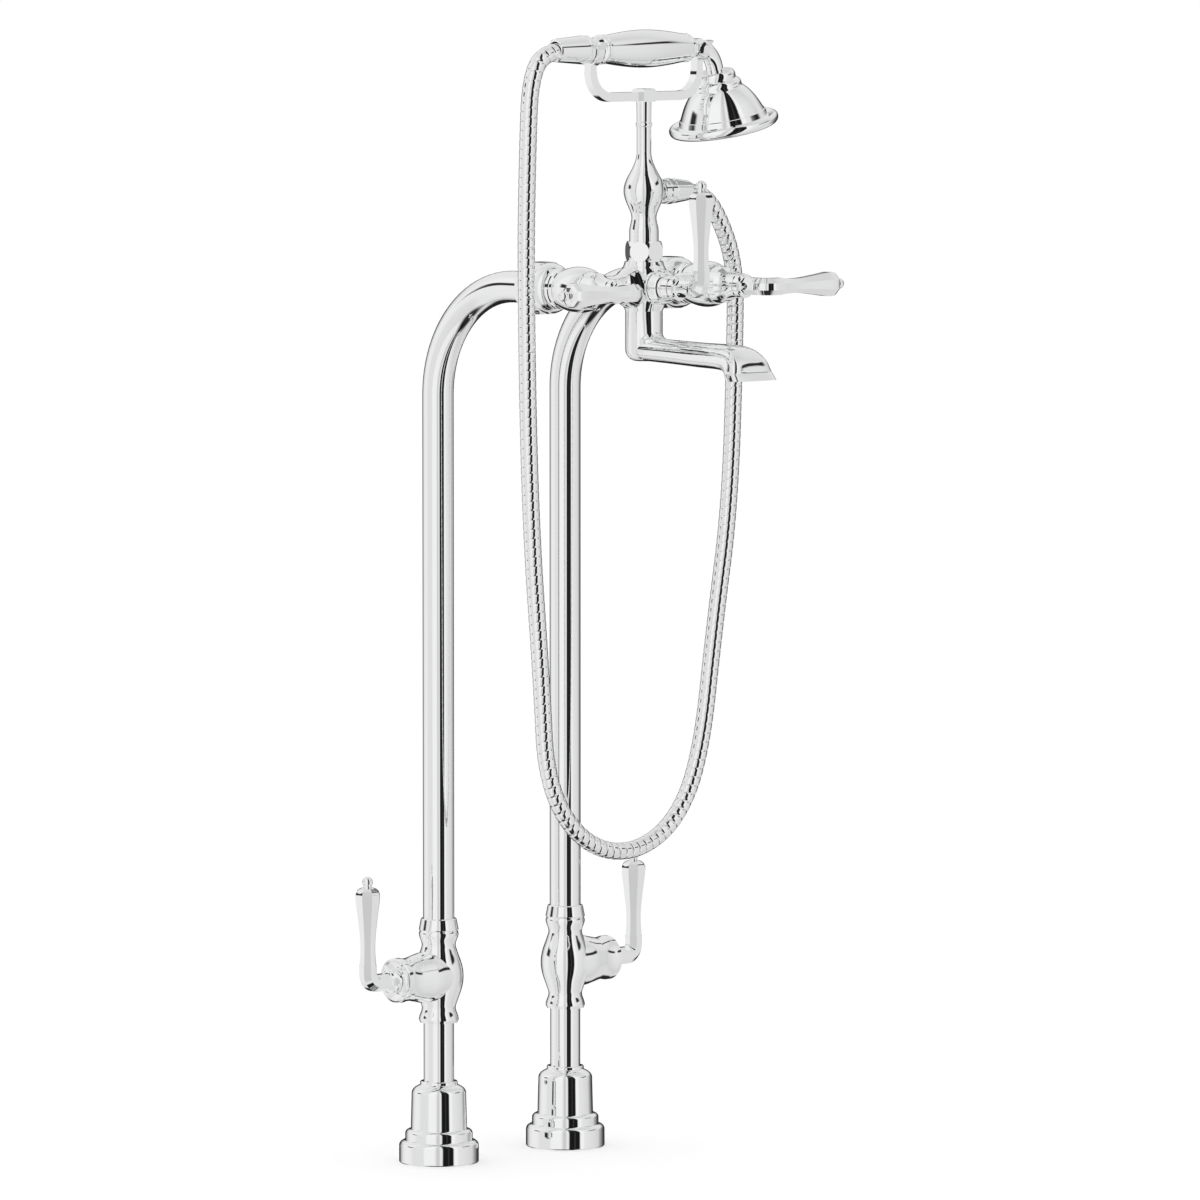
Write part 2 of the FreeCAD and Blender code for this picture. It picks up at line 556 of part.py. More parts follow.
# ---------------------------------------------------------------- spout
def spout_arm():
    """The arm that turns down and widens into the mouth. Each of its sections is an oval:
    distance forward, fall, half width, half height, lean in degrees, squareness."""
    front, drop = SPOUT_REACH - MOUTH_DEPTH / 2, MOUTH_DROP - SPOUT_DROP
    side, low = ARM_WIDTH / 2, ARM_TALL / 2
    wide, deep = MOUTH_WIDTH / 2 - LIP_PROUD, MOUTH_DEPTH / 2 - LIP_PROUD
    ovals = [(0.0, 0.0, side, 0.97 * low, 0, 2.0),
             (0.26 * front, 0.04 * drop, 0.99 * side, low, 0, 2.0),
             (0.515 * front, 0.11 * drop, 1.01 * side, 1.03 * low, 3, 2.1),
             (0.742 * front, 0.136 * drop, 1.15 * side, 1.09 * low, 15, 2.4),
             (0.861 * front, 0.20 * drop, 0.77 * wide, 1.20 * low, 35, 3.0),
             (0.934 * front, 0.42 * drop, 0.875 * wide, 1.25 * deep, 60, 4.0),
             (front - 0.63 * LIP_BAND, drop - LIP_BAND, 0.967 * wide, deep, 90, 5.0)]
    band = [(front - 0.6 * LIP_BAND, drop - 0.95 * LIP_BAND, 0.967 * wide + LIP_PROUD, deep + LIP_PROUD, 90, 5.0),
            (front, drop, wide + LIP_PROUD, deep + LIP_PROUD, 90, 5.0)]
    rings = []
    for forward, fall, half_width, half_height, lean, square in eased(ovals) + band:
        tilt = math.radians(lean)
        tall = V(0, -math.sin(tilt), math.cos(tilt))
        rings.append(oval(V(0, -forward, -SPOUT_DROP - fall), half_width, half_height, tall, square))
    return skinned(rings)


def eased(rows):
    """The rows with more between them, so that each number runs on smoothly: Hermite curves by distance."""
    at = [0.0]
    for one, other in zip(rows, rows[1:]):
        at.append(at[-1] + math.hypot(other[0] - one[0], other[1] - one[1]))
    last = len(rows) - 1
    slopes = [[(rows[min(i + 1, last)][n] - rows[max(i - 1, 0)][n]) / (at[min(i + 1, last)] - at[max(i - 1, 0)])
               for n in range(len(rows[0]))] for i in range(last + 1)]
    result = [rows[0]]
    for i in range(last):
        step = at[i + 1] - at[i]
        pieces = max(1, math.ceil(abs(rows[i + 1][4] - rows[i][4]) / OVAL_TURN))
        for k in range(1, pieces + 1):
            u = k / pieces
            result.append([a * (1 + 2 * u) * (1 - u) ** 2 + b * u * u * (3 - 2 * u) + step * (m * u * (1 - u) ** 2 - n * u * u * (1 - u))
                           for a, b, m, n in zip(rows[i], rows[i + 1], slopes[i], slopes[i + 1])])
    return result


def oval(centre, half_width, half_height, tall, square):
    """Points in a ring across X, with its other axis along tall: an ellipse at square 2, squarer above."""
    points = []
    for k in range(OVAL_POINTS):
        across, up = math.cos(2 * math.pi * k / OVAL_POINTS), math.sin(2 * math.pi * k / OVAL_POINTS)
        far = 1.01 * (abs(across) ** square + abs(up) ** square) ** (-1 / square)
        points.append(centre + V(1, 0, 0) * (far * across * half_width) + tall * (far * up * half_height))
    return points


def skinned(rings):
    """A solid with one smooth side drawn over rings of points, and a flat face at each end."""
    degree = min(3, len(rings) - 1)
    inner_knots = len(rings) - degree
    surface = Part.BSplineSurface()
    surface.buildFromPolesMultsKnots(rings, [degree + 1] + [1] * (inner_knots - 1) + [degree + 1],
                                     [1] * (OVAL_POINTS + 1), list(range(inner_knots + 1)),
                                     list(range(OVAL_POINTS + 1)), False, True, degree, 3)
    side = surface.toShape()
    ends = [Part.Face(Part.Wire([edge])) for edge in side.Edges if edge.isClosed()]
    shell = Part.makeShell([side] + ends)
    shell.sewShape()
    return upright(Part.Solid(shell))


def spout_root():
    """The rounded corner where the arm leaves the front of the upright part."""
    side, high = SPOUT_OD / 2, ARM_TALL / 2 - SPOUT_DROP
    rings = []
    for k in range(7):
        turn = math.radians(15 * k)
        ahead, up = ROOT_FILLET * (1 - math.cos(turn)) - 0.3, ROOT_FILLET * (1 - math.sin(turn)) - 1.3
        across = side - 1.0 + (ARM_WIDTH / 2 - side) * k / 6
        rings.append(oval(V(0, -1.0 - ahead / 2, high + up), across, side - 1.0 + ahead / 2, V(0, -1, 0), 2.0))
    rings.append(oval(V(0, -1.0 - ahead / 2, -SPOUT_DROP), across, side - 1.0 + ahead / 2, V(0, -1, 0), 2.0))
    return skinned(rings)


def spout_ways():
    """The water's way through the spout: down the upright part, along the arm and out at the mouth."""
    front, wall = SPOUT_REACH - MOUTH_DEPTH / 2, SPOUT_WALL
    side, low, wide, deep = ARM_WIDTH / 2 - wall, ARM_TALL / 2 - wall, MOUTH_WIDTH / 2 - wall, MOUTH_DEPTH / 2 - wall
    along = [oval(V(0, 0, -SPOUT_DROP), side, 0.95 * low, V(0, 0, 1), 2.0),
             oval(V(0, -0.86 * front, -SPOUT_DROP - 3.6), 1.1 * side, 1.05 * low, V(0, 0, 1), 2.0)]
    band, lean = LIP_BAND, V(0, 0.63, 1)
    foot = V(0, -front, -MOUTH_DROP)
    out = [oval(foot - lean * 1.5, wide, deep, V(0, -1, 0), 5.0),
           oval(foot + lean * band, 0.94 * wide, 0.92 * deep, V(0, -1, 0), 5.0),
           oval(foot + V(0, 9.1, 13.3), 0.80 * wide, 1.3 * deep, V(0, -1, 0), 4.0),
           oval(foot + V(0, 16.1, 20.8), 0.60 * wide, 1.6 * deep, V(0, -1, 0), 3.0)]
    return [skinned(along), skinned(out),
            rod(SPOUT_WAY / 2, -SPOUT_DROP - 4, -HUB_BOTTOM + SPOUT_SPIGOT + 1)]


def spout():
    """The spout: a round upright part, a rounded heel and an arm that ends in a wide mouth."""
    top, side = -HUB_BOTTOM, SPOUT_OD / 2
    foot, heel = -SPOUT_DROP - ARM_TALL / 2, HEEL_RADIUS
    curve = [(side - heel * (1 - math.sin(math.radians(a))), foot + heel * (1 - math.cos(math.radians(a))))
             for a in (22.5, 45, 67.5, 90)]
    drop = turned((0, foot), (side - heel, foot), curve, (side, top), (SPOUT_SPIGOT_OD / 2, top),
                  (SPOUT_SPIGOT_OD / 2, top + SPOUT_SPIGOT), (0, top + SPOUT_SPIGOT))
    body = drop.fuse([spout_arm(), spout_root()]).cut(spout_ways())
    body.translate(V(0, MIXER_Y, MIXER_HEIGHT))
    return body


def flow_insert():
    """The flow straightener pressed into the spout's upright part."""
    low, high = -SPOUT_DROP + INSERT_LIFT, -SPOUT_DROP + INSERT_LIFT + INSERT_THICK
    disc = rod(SPOUT_WAY / 2, low, high)
    holes = [rod(1.9, low - 1, high + 1)]
    for k in range(6):
        hole = rod(1.9, low - 1, high + 1)
        hole.translate(polar(5.6, math.pi * k / 3))
        holes.append(hole)
    disc = disc.cut(holes)
    disc.translate(V(0, MIXER_Y, MIXER_HEIGHT))
    return disc


def hub_gaskets():
    """Flat gaskets above the spout's spigot and under the column's."""
    low = -HUB_BOTTOM + SPOUT_SPIGOT
    high = HUB_TOP - SPIGOT_DEPTH - GASKET
    pair = [ring(SPOUT_SPIGOT_OD / 2 - 0.3, WAY / 2 + 1.0, low, low + GASKET),
            ring(SPIGOT_OD / 2 - 0.3, WAY / 2 + 1.0, high, high + GASKET)]
    for gasket in pair:
        gasket.translate(V(0, MIXER_Y, MIXER_HEIGHT))
    return Part.makeCompound(pair)


def pipe_washers():
    """Washers under and over each stop valve's waterway and in each union."""
    washers = []
    for x in LEG_X.values():
        low = VALVE_BOTTOM + SOCKET_DEPTH - WASHER_THICK
        high = VALVE_TOP - SOCKET_DEPTH
        flat = ring(TAIL_LIP / 2, WASHER_BORE / 2, UNION_FRONT + 7.5, UNION_FRONT + 9.5)
        washers.append(aim(ring(STUB_OD / 2, WASHER_BORE / 2, low, low + WASHER_THICK), V(x, 0, 0), UP))
        washers.append(aim(ring(RISER_OD / 2, WASHER_BORE / 2, high, high + WASHER_THICK), V(x, 0, 0), UP))
        washers.append(aim(flat, V(x, MIXER_Y, MIXER_HEIGHT), V(0, 1, 0)))
    return Part.makeCompound(washers)


# ---------------------------------------------------------------- column and cradle
COLUMN_FOOT = MIXER_HEIGHT + HUB_TOP + NUT_HEIGHT
BLOCK_FOOT = BAR_HEIGHT - BAR / 2 - 0.7


def column_nut():
    """The hexagon between the hub and the column, turned to a ball so that each flat is a round."""
    low = MIXER_HEIGHT + HUB_TOP
    high = COLUMN_FOOT
    corner = NUT_AF / 2 / math.cos(math.pi / 6)
    ball = Part.makeSphere(corner + 0.1, V(0, 0, (low + high) / 2))
    body = prism(NUT_AF, 6, low, high, 0).common(ball).cut(rod(SPIGOT_OD / 2 + SLIP, low - 1, high + 1))
    body.translate(V(0, MIXER_Y, 0))
    return body


def column():
    """The swan column: foot, bulb with the hose outlet's socket, stem and bead."""
    foot, top = COLUMN_FOOT, BLOCK_FOOT
    bulb, stem, bead = BULB_OD / 2, STEM_OD / 2, BEAD_OD / 2
    tail = MIXER_HEIGHT + HUB_TOP - SPIGOT_DEPTH
    low, high = OUTLET_HEIGHT - foot, BEAD_HEIGHT - OUTLET_HEIGHT
    base, neck = COLUMN_BASE_OD / 2, COLUMN_NECK_OD / 2
    body = turned((0, tail), (SPIGOT_OD / 2, tail), (SPIGOT_OD / 2, foot), (base, foot), (base, foot + 0.22 * low),
                  [(base - 0.9, foot + 0.34 * low), (neck, foot + 0.48 * low), (neck + 1.4, foot + 0.62 * low),
                   (bulb - 1.6, foot + 0.83 * low), (bulb, OUTLET_HEIGHT + 0.5), (bulb - 1.7, OUTLET_HEIGHT + 0.16 * high),
                   (0.58 * bulb, OUTLET_HEIGHT + 0.35 * high), (0.42 * bulb, OUTLET_HEIGHT + 0.47 * high),
                   (stem, OUTLET_HEIGHT + 0.63 * high)],
                  (stem, BEAD_HEIGHT - 2.2), [(bead, BEAD_HEIGHT), (stem, BEAD_HEIGHT + 2.2)],
                  (stem + 0.3, top), (0, top))
    body = body.cut(rod(COLUMN_WAY / 2, tail - 1, OUTLET_HEIGHT + 5.0))
    body = body.cut(rod(CRADLE_SCREW_OD / 2 + SLIP, top - 14.0, top + 1))
    side = aim(rod(OUTLET_THREAD / 2 + SLIP, 6.0, bulb + 1), V(0, 0, OUTLET_HEIGHT), V(1, 0, 0))
    body = body.cut(side).cut(aim(rod(3.5, 0, bulb), V(0, 0, OUTLET_HEIGHT), V(1, 0, 0)))
    body.translate(V(0, MIXER_Y, 0))
    return body


OUTLET_THREAD = 14.0       # the outlet nipple's thread in the bulb


def hose_outlet():
    """The nipple screwed into the bulb, with a collar for the hose nut."""
    start = OUTLET_NUT_START
    body = turned((0, 6.0), (OUTLET_THREAD / 2, 6.0), (OUTLET_THREAD / 2, BULB_OD / 2 + 0.2),
                  (OUTLET_OD / 2 - 0.4, BULB_OD / 2 + 0.2), (OUTLET_OD / 2, BULB_OD / 2 + 0.8), (OUTLET_OD / 2, start),
                  (6.0, start), (6.0, start + 7.0), (0, start + 7.0))
    body = body.cut(rod(3.5, 5.0, start + 8.0))
    return aim(body, V(0, MIXER_Y, OUTLET_HEIGHT), V(1, 0, 0))


def outlet_nut():
    """The hose nut on the outlet, with a socket that takes the hose's straight end."""
    start, end = OUTLET_NUT_START, OUTLET_NUT_START + OUTLET_NUT_LENGTH
    wide, narrow = OUTLET_NUT_OD / 2, OUTLET_NUT_END_OD / 2
    body = turned((0, start), (wide - 0.6, start), (wide, start + 0.8), (wide, start + 5.6), (wide - 0.7, start + 6.2),
                  (wide - 0.7, start + 7.2), (wide - 0.2, start + 7.8), (narrow, end - 0.8), (narrow - 0.5, end), (0, end))
    body = body.cut(rod(6.0 + SLIP, start - 1, start + 7.0 + SLIP)).cut(rod(HOSE_BORE / 2, start, end))
    body = body.cut(rod(HOSE_OD / 2 + SLIP, end - HOSE_SOCKET, end + 1))
    return aim(body, V(0, MIXER_Y, OUTLET_HEIGHT), V(1, 0, 0))


def saddle(side, seat):
    """One saddle: a plate across the bar with a round seat and two prongs that flare outwards."""
    x = side * ARM_SPAN / 2 - SADDLE_THICK / 2
    inner, outer = seat / 2 + GAP, seat / 2 + GAP + PRONG
    foot = -(HANDSET_HEIGHT - BAR_HEIGHT - BAR_BEND)

    def at(y, z):
        return V(x, y, z)

    rest = Part.makeLine(at(-inner, 0), at(-inner, 0.5))
    edges = [Part.makeLine(at(outer, 0), at(PRONG_SPREAD, PRONG_RISE)),
             Part.makeLine(at(PRONG_SPREAD, PRONG_RISE), at(PRONG_SPREAD - PRONG, PRONG_RISE + 0.6)),
             Part.makeLine(at(PRONG_SPREAD - PRONG, PRONG_RISE + 0.6), at(inner, 0.5)),
             Part.makeLine(at(inner, 0.5), at(inner, 0)),
             Part.Arc(at(inner, 0), at(0, -inner), at(-inner, 0)).toShape(), rest,
             Part.makeLine(at(-inner, 0.5), at(PRONG - PRONG_SPREAD, PRONG_RISE + 0.6)),
             Part.makeLine(at(PRONG - PRONG_SPREAD, PRONG_RISE + 0.6), at(-PRONG_SPREAD, PRONG_RISE)),
             Part.makeLine(at(-PRONG_SPREAD, PRONG_RISE), at(-outer, 0)),
             Part.Arc(at(-outer, 0), at(0, -outer), at(outer, 0)).toShape()]
    plate = Part.Face(Part.Wire(edges)).extrude(V(SADDLE_THICK, 0, 0))
    post = Part.makeBox(SADDLE_THICK, BAR, -inner - 1.5 - foot + 1.0, V(x, -BAR / 2, foot - 1.0))
    return plate.fuse(post)


def cradle():
    """The square bar bent up at both ends, with its centre block and two saddles."""
    half, level, rise = ARM_SPAN / 2, BAR_HEIGHT - HANDSET_HEIGHT, BAR_BEND
    side = BAR / 2
    slant = rise * (1 - math.sqrt(0.5))
    path = Part.Wire([
        Part.Arc(V(-half, 0, level + rise), V(-half + slant, 0, level + slant), V(-half + rise, 0, level)).toShape(),
        Part.makeLine(V(-half + rise, 0, level), V(half - rise, 0, level)),
        Part.Arc(V(half - rise, 0, level), V(half - slant, 0, level + slant), V(half, 0, level + rise)).toShape()])
    top = level + rise
    square = Part.makePolygon([V(-half - side, -side, top), V(-half + side, -side, top), V(-half + side, side, top),
                               V(-half - side, side, top), V(-half - side, -side, top)])
    bar = swept(square, path)
    foot = BLOCK_FOOT - HANDSET_HEIGHT
    block = Part.makeBox(BLOCK, BLOCK, BLOCK_HEIGHT, V(-BLOCK / 2, -BLOCK / 2, foot))
    block = block.makeChamfer(1.2, [e for e in block.Edges if e.BoundBox.ZLength < 0.01 and e.BoundBox.ZMin > foot + 1])
    body = bar.fuse([block, saddle(-1, TAIL_SEAT_OD), saddle(1, NECK_SEAT_OD)])
    body = body.cut(rod(CRADLE_SCREW_OD / 2 + SLIP, foot - 1, foot + BLOCK_HEIGHT + 1))
    body = body.cut(rod(4.2 + SLIP, foot + BLOCK_HEIGHT - 3.4, foot + BLOCK_HEIGHT + 1))
    body.translate(V(0, MIXER_Y, HANDSET_HEIGHT))
    return body


def cradle_screw():
    """The screw from the block's top down into the column's stem."""
    top = BLOCK_FOOT + BLOCK_HEIGHT
    body = rod(CRADLE_SCREW_OD / 2, BLOCK_FOOT - 12.0, top - 3.0).fuse(rod(4.2, top - 3.4, top - 0.2))
    body = body.cut(prism(3.0, 6, top - 2.4, top + 1))
    body.translate(V(0, MIXER_Y, 0))
    return body


# ---------------------------------------------------------------- handset
SEAT_NEAR = ARM_SPAN / 2 - SEAT_LENGTH / 2
SEAT_FAR = ARM_SPAN / 2 + SEAT_LENGTH / 2
TAIL_END = SEAT_FAR + TAIL_FLANGE_LENGTH
MOUTH_X = TAIL_END + HOSE_NUT_LENGTH


def lying(shape, side=1):
    """A shape made along Z laid on the handset's axis, pointing to +X, or to -X for side -1."""
    return aim(shape, V(0, MIXER_Y, HANDSET_HEIGHT), V(side, 0, 0))


def hose_nut():
    """The handset's hose nut, a long cone with a socket that takes the hose's straight end."""
    wide, narrow = HOSE_NUT_OD / 2, HOSE_NUT_END_OD / 2
    body = turned((0, TAIL_END), (wide - 0.5, TAIL_END), (wide, TAIL_END + 0.6), (wide, TAIL_END + 2.4),
                  (narrow, MOUTH_X - 0.8), (narrow - 0.6, MOUTH_X), (0, MOUTH_X))
    body = body.cut(rod(HOSE_THREAD_OD / 2 + SLIP, TAIL_END - 1, TAIL_END + HOSE_THREAD_LENGTH + SLIP))
    body = body.cut(rod(HOSE_BORE / 2, TAIL_END, MOUTH_X))
    return lying(body.cut(rod(HOSE_OD / 2 + GAP, MOUTH_X - HOSE_SOCKET - GAP, MOUTH_X + 1)), -1)


def handset_collar():
    """The handset's tail: hose thread, flange, the neck in the left saddle and a flare at the grip."""
    wide, flare, seat, thread = TAIL_FLANGE_OD / 2, TAIL_FLARE_OD / 2, TAIL_SEAT_OD / 2, HOSE_THREAD_OD / 2
    body = turned((0, GRIP_HALF - TENON_LENGTH), (TENON_OD / 2, GRIP_HALF - TENON_LENGTH), (TENON_OD / 2, GRIP_HALF),
                  (flare - 0.7, GRIP_HALF), [(flare, GRIP_HALF + 1.4), (flare - 0.2, GRIP_HALF + 3.0)],
                  (flare - 1.6, GRIP_HALF + 4.2), (flare - 1.2, GRIP_HALF + 5.6), (seat, SEAT_NEAR), (seat, SEAT_FAR),
                  (wide - 0.8, SEAT_FAR), (wide, SEAT_FAR + 0.9), (wide, TAIL_END - 0.6), (wide - 0.6, TAIL_END),
                  (thread, TAIL_END), (thread, TAIL_END + HOSE_THREAD_LENGTH), (0, TAIL_END + HOSE_THREAD_LENGTH))
    return lying(body.cut(rod(HANDSET_BORE / 2, 0, TAIL_END + HOSE_THREAD_LENGTH + 1)), -1)


def handset_grip():
    """The barrel-shaped grip with a thin rim at each end."""
    end, middle, half = GRIP_END_OD / 2, GRIP_OD / 2, GRIP_HALF
    body = turned((0, -half), (end, -half), (end + 0.7, -half + 0.8), (end + 0.7, -half + 2.6), (end + 0.1, -half + 3.2),
                  [(end + 1.6, -half + 14.0), (middle - 0.8, -18.0), (middle, 0.0), (middle - 0.8, 18.0),
                   (end + 1.6, half - 14.0), (end + 0.1, half - 3.2)],
                  (end + 0.7, half - 2.6), (end + 0.7, half - 0.8), (end, half), (0, half))
    body = body.cut(rod(HANDSET_BORE / 2, -half - 1, half + 1))
    body = body.cut(rod(TENON_OD / 2 + SLIP, half - TENON_LENGTH, half + 1))
    return lying(body.cut(rod(TENON_OD / 2 + SLIP, -half - 1, TENON_LENGTH - half)))


def neck_path(extra=0.0):
    """Centreline from the right saddle round and down into the rose, and its end direction."""
    tilt = math.radians(BELL_TILT)
    down = V(math.sin(tilt), 0, -math.cos(tilt))
    top = V(BELL_OUT, 0, -BELL_DROP) - down * BELL_HEIGHT
    turn = math.pi / 2 - tilt
    drop = NECK_BEND * (1 - math.cos(turn))
    straight = (-drop - top.z) / math.cos(tilt)
    leave = top - down * straight
    start = V(leave.x - NECK_BEND * math.sin(turn), 0, 0)
    bend = V(start.x + NECK_BEND * math.sin(turn / 2), 0, -NECK_BEND * (1 - math.cos(turn / 2)))
    deep = leave + down * (straight + NECK_IN_BELL + extra)
    near = V(GRIP_HALF - TENON_LENGTH - extra, 0, 0)
    return Part.Wire([Part.makeLine(near, start), Part.Arc(start, bend, leave).toShape(), Part.makeLine(leave, deep)])


def handset_neck():
    """The handset's neck: tenon, ring, the seat in the right saddle and the bent tube to the rose."""
    ring_at, seat = GRIP_HALF, NECK_SEAT_OD / 2
    drum = turned((0, ring_at - TENON_LENGTH), (TENON_OD / 2, ring_at - TENON_LENGTH), (TENON_OD / 2, ring_at),
                  (10.2, ring_at), [(10.8, ring_at + 1.2), (10.2, ring_at + 2.6)], (9.2, ring_at + 3.2),
                  [(8.7, ring_at + 5.4), (seat, SEAT_NEAR)], (seat, SEAT_FAR), (0, SEAT_FAR))
    tube = swept(Part.Wire([Part.makeCircle(NECK_OD / 2, V(ring_at - TENON_LENGTH, 0, 0), V(1, 0, 0))]), neck_path())
    start = V(ring_at - TENON_LENGTH - 1, 0, 0)
    bore = swept(Part.Wire([Part.makeCircle(HANDSET_BORE / 2, start, V(1, 0, 0))]), neck_path(1.0))
    body = tube.fuse(aim(drum, V(0, 0, 0), V(1, 0, 0))).cut(bore)
    body.translate(V(0, MIXER_Y, HANDSET_HEIGHT))
    return body


def on_rose(shape):
    """A shape made along the rose's own axis, with the rim's widest circle at 0, set in place."""
    tilt = math.radians(BELL_TILT)
    return aim(shape, V(BELL_OUT, MIXER_Y, HANDSET_HEIGHT - BELL_DROP), V(-math.sin(tilt), 0, math.cos(tilt)))


def rose():
    """The bell: rolled rim, band, flare, shoulder and collar, hollow down to the spray plate."""
    rim, top, plate = BELL_RIM / 2, BELL_HEIGHT, PLATE_OD / 2 + SLIP
    body = turned((0, -4.4), (rim - 5.4, -4.4), [(rim - 3.4, -5.0), (rim - 1.0, -3.4), (rim, 0.0),
                  (rim - 1.0, 2.4), (rim - 3.6, 3.4)], (rim - 7.6, 2.4), (rim - 8.6, 3.2), (rim - 10.2, 7.6),
                  (rim - 10.9, 8.0), [(rim - 13.6, 14.0), (rim - 17.0, 20.4), (rim - 21.0, 26.0), (rim - 25.0, 30.2)],
                  [(rim - 26.3, 32.6), (rim - 26.5, 34.4), (rim - 27.6, 36.4), (rim - 30.4, 38.4)],
                  [(rim - 30.2, 40.6), (rim - 30.8, 43.4), (rim - 32.4, top)], (0, top))
    hollow = turned((0, -6.0), (plate, -6.0), (plate, GASKET), (plate - 3.6, GASKET), (rim - 12.4, 7.4),
                    [(rim - 15.4, 13.6), (rim - 18.9, 19.8), (rim - 23.0, 25.2), (rim - 27.4, 29.0)],
                    (rim - 29.0, 32.4), (0, 32.4))
    way = rod(HANDSET_BORE / 2, 30.0, top + 1)
    socket = rod(NECK_OD / 2 + SLIP, top - NECK_IN_BELL, top + 1)
    return on_rose(body.cut([hollow, way, socket]))


def spray_plate():
    """The spray plate with rings of nozzles, screwed into the rim from below."""
    plate = turned((0, -PLATE_THICK), (PLATE_OD / 2 - 0.6, -PLATE_THICK), (PLATE_OD / 2, -PLATE_THICK + 0.6),
                   (PLATE_OD / 2, 0), (0, 0))
    tips, bores = [], []
    for radius, count in NOZZLE_RINGS.items():
        for k in range(count):
            place = polar(radius, 2 * math.pi * k / count)
            tip = Part.makeCone(NOZZLE_OD / 2 - 0.3, NOZZLE_OD / 2, 2.2, V(0, 0, -PLATE_THICK - 1.6))
            bore = rod(NOZZLE_BORE / 2, -PLATE_THICK - 2.0, 1.0)
            tip.translate(place)
            bore.translate(place)
            tips.append(tip)
            bores.append(bore)
    return on_rose(plate.fuse(tips).cut(bores))


def spray_gasket():
    """The gasket between the spray plate and the bell's shoulder."""
    return on_rose(ring(PLATE_OD / 2 - 0.3, PLATE_OD / 2 - 3.4, 0, GASKET))


# ---------------------------------------------------------------- hose
def hose_corners():
    """All corners of the hose's centreline, from the handset's nut to the outlet's."""
    start = V(-(MOUTH_X - HOSE_SOCKET), MIXER_Y, HANDSET_HEIGHT)
    end = V(OUTLET_NUT_START + OUTLET_NUT_LENGTH - HOSE_SOCKET, MIXER_Y, OUTLET_HEIGHT)
    inner = [V(x, MIXER_Y, HANDSET_HEIGHT - down) for x, down in HOSE_ROUTE]
    inner[0].z = start.z
    inner[-1].z = end.z
    return [start] + inner + [end]


def hose_runs():
    """The centreline as straight runs joined by arcs: (start, direction, length, turn, centre) each."""
    corners = hose_corners()
    runs = []
    here = corners[0]
    for before, corner, after in zip(corners, corners[1:], corners[2:]):
        into, out = corner - before, after - corner
        cut = HOSE_CORNERS * min(into.Length, out.Length)
        into.normalize()
        out.normalize()
        turn = into.getAngle(out)
        radius = cut / math.tan(turn / 2)
        side = (out - into * into.dot(out)).normalize()
        arc_start, arc_end = corner - into * cut, corner + out * cut
        runs.append((here, into, (arc_start - here).Length, 0.0, side))
        runs.append((arc_start, into, radius * turn, radius, side))
        here = arc_end
    last = corners[-1] - here
    runs.append((here, (last / last.Length), last.Length, 0.0, UP))
    return runs


def along_hose(runs, distance):
    """Point and direction at a distance along the hose."""
    for start, heading, length, radius, side in runs:
        if distance <= length or (start, heading) == (runs[-1][0], runs[-1][1]):
            break
        distance -= length
    if radius == 0.0:
        return start + heading * distance, heading
    turn = distance / radius
    point = start + heading * (radius * math.sin(turn)) + side * (radius * (1 - math.cos(turn)))
    return point, heading * math.cos(turn) + side * math.sin(turn)


def hose_circle(runs, distance, radius):
    """A circle round the hose at a distance along it."""
    point, heading = along_hose(runs, distance)
    circle = Part.Wire([Part.makeCircle(radius)])
    return facing(circle, point, heading, V(0, 1, 0))


def hose():
    """The ribbed hose: one skin through four circles for each rib, and a round bore."""
    runs = hose_runs()
    length = sum(run[2] for run in runs)
    ribs = round(length / RIB_PITCH)
    pitch = length / ribs
    edge = (pitch - RIB_BAND) / 2
    places = [(0.0, HOSE_GROOVE_OD)]
    for k in range(ribs):
        low, high = k * pitch + edge, (k + 1) * pitch - edge
        places += [(low, HOSE_GROOVE_OD), (low + RIB_EDGE, HOSE_OD), (high - RIB_EDGE, HOSE_OD), (high, HOSE_GROOVE_OD)]
    places.append((length, HOSE_GROOVE_OD))
    skin = upright(Part.makeLoft([hose_circle(runs, s, d / 2) for s, d in places], True, True))
    edges = []
    for start, heading, run, radius, side in runs:
        if radius == 0.0:
            edges.append(Part.makeLine(start, start + heading * run))
        else:
            middle, end = [along_hose([(start, heading, run, radius, side)], run * f)[0] for f in (0.5, 1.0)]
            edges.append(Part.Arc(start, middle, end).toShape())
    bore = swept(hose_circle(runs, 0.0, HOSE_BORE / 2), Part.Wire(edges))
    points = [along_hose(runs, length * k / 400)[0] for k in range(401)]
    apart = 3 * HOSE_OD / (length / 400)
    gap = min((points[i] - points[j]).Length for i in range(401) for j in range(i + int(apart), 401)) - HOSE_OD
    bends = [run[3] for run in runs if run[3] > 0]
    print(f"hose: length {length:.0f}, {ribs} ribs, bend radii {min(bends):.1f} to {max(bends):.0f}, least gap {gap:.1f}")
    return skin.cut(bore)


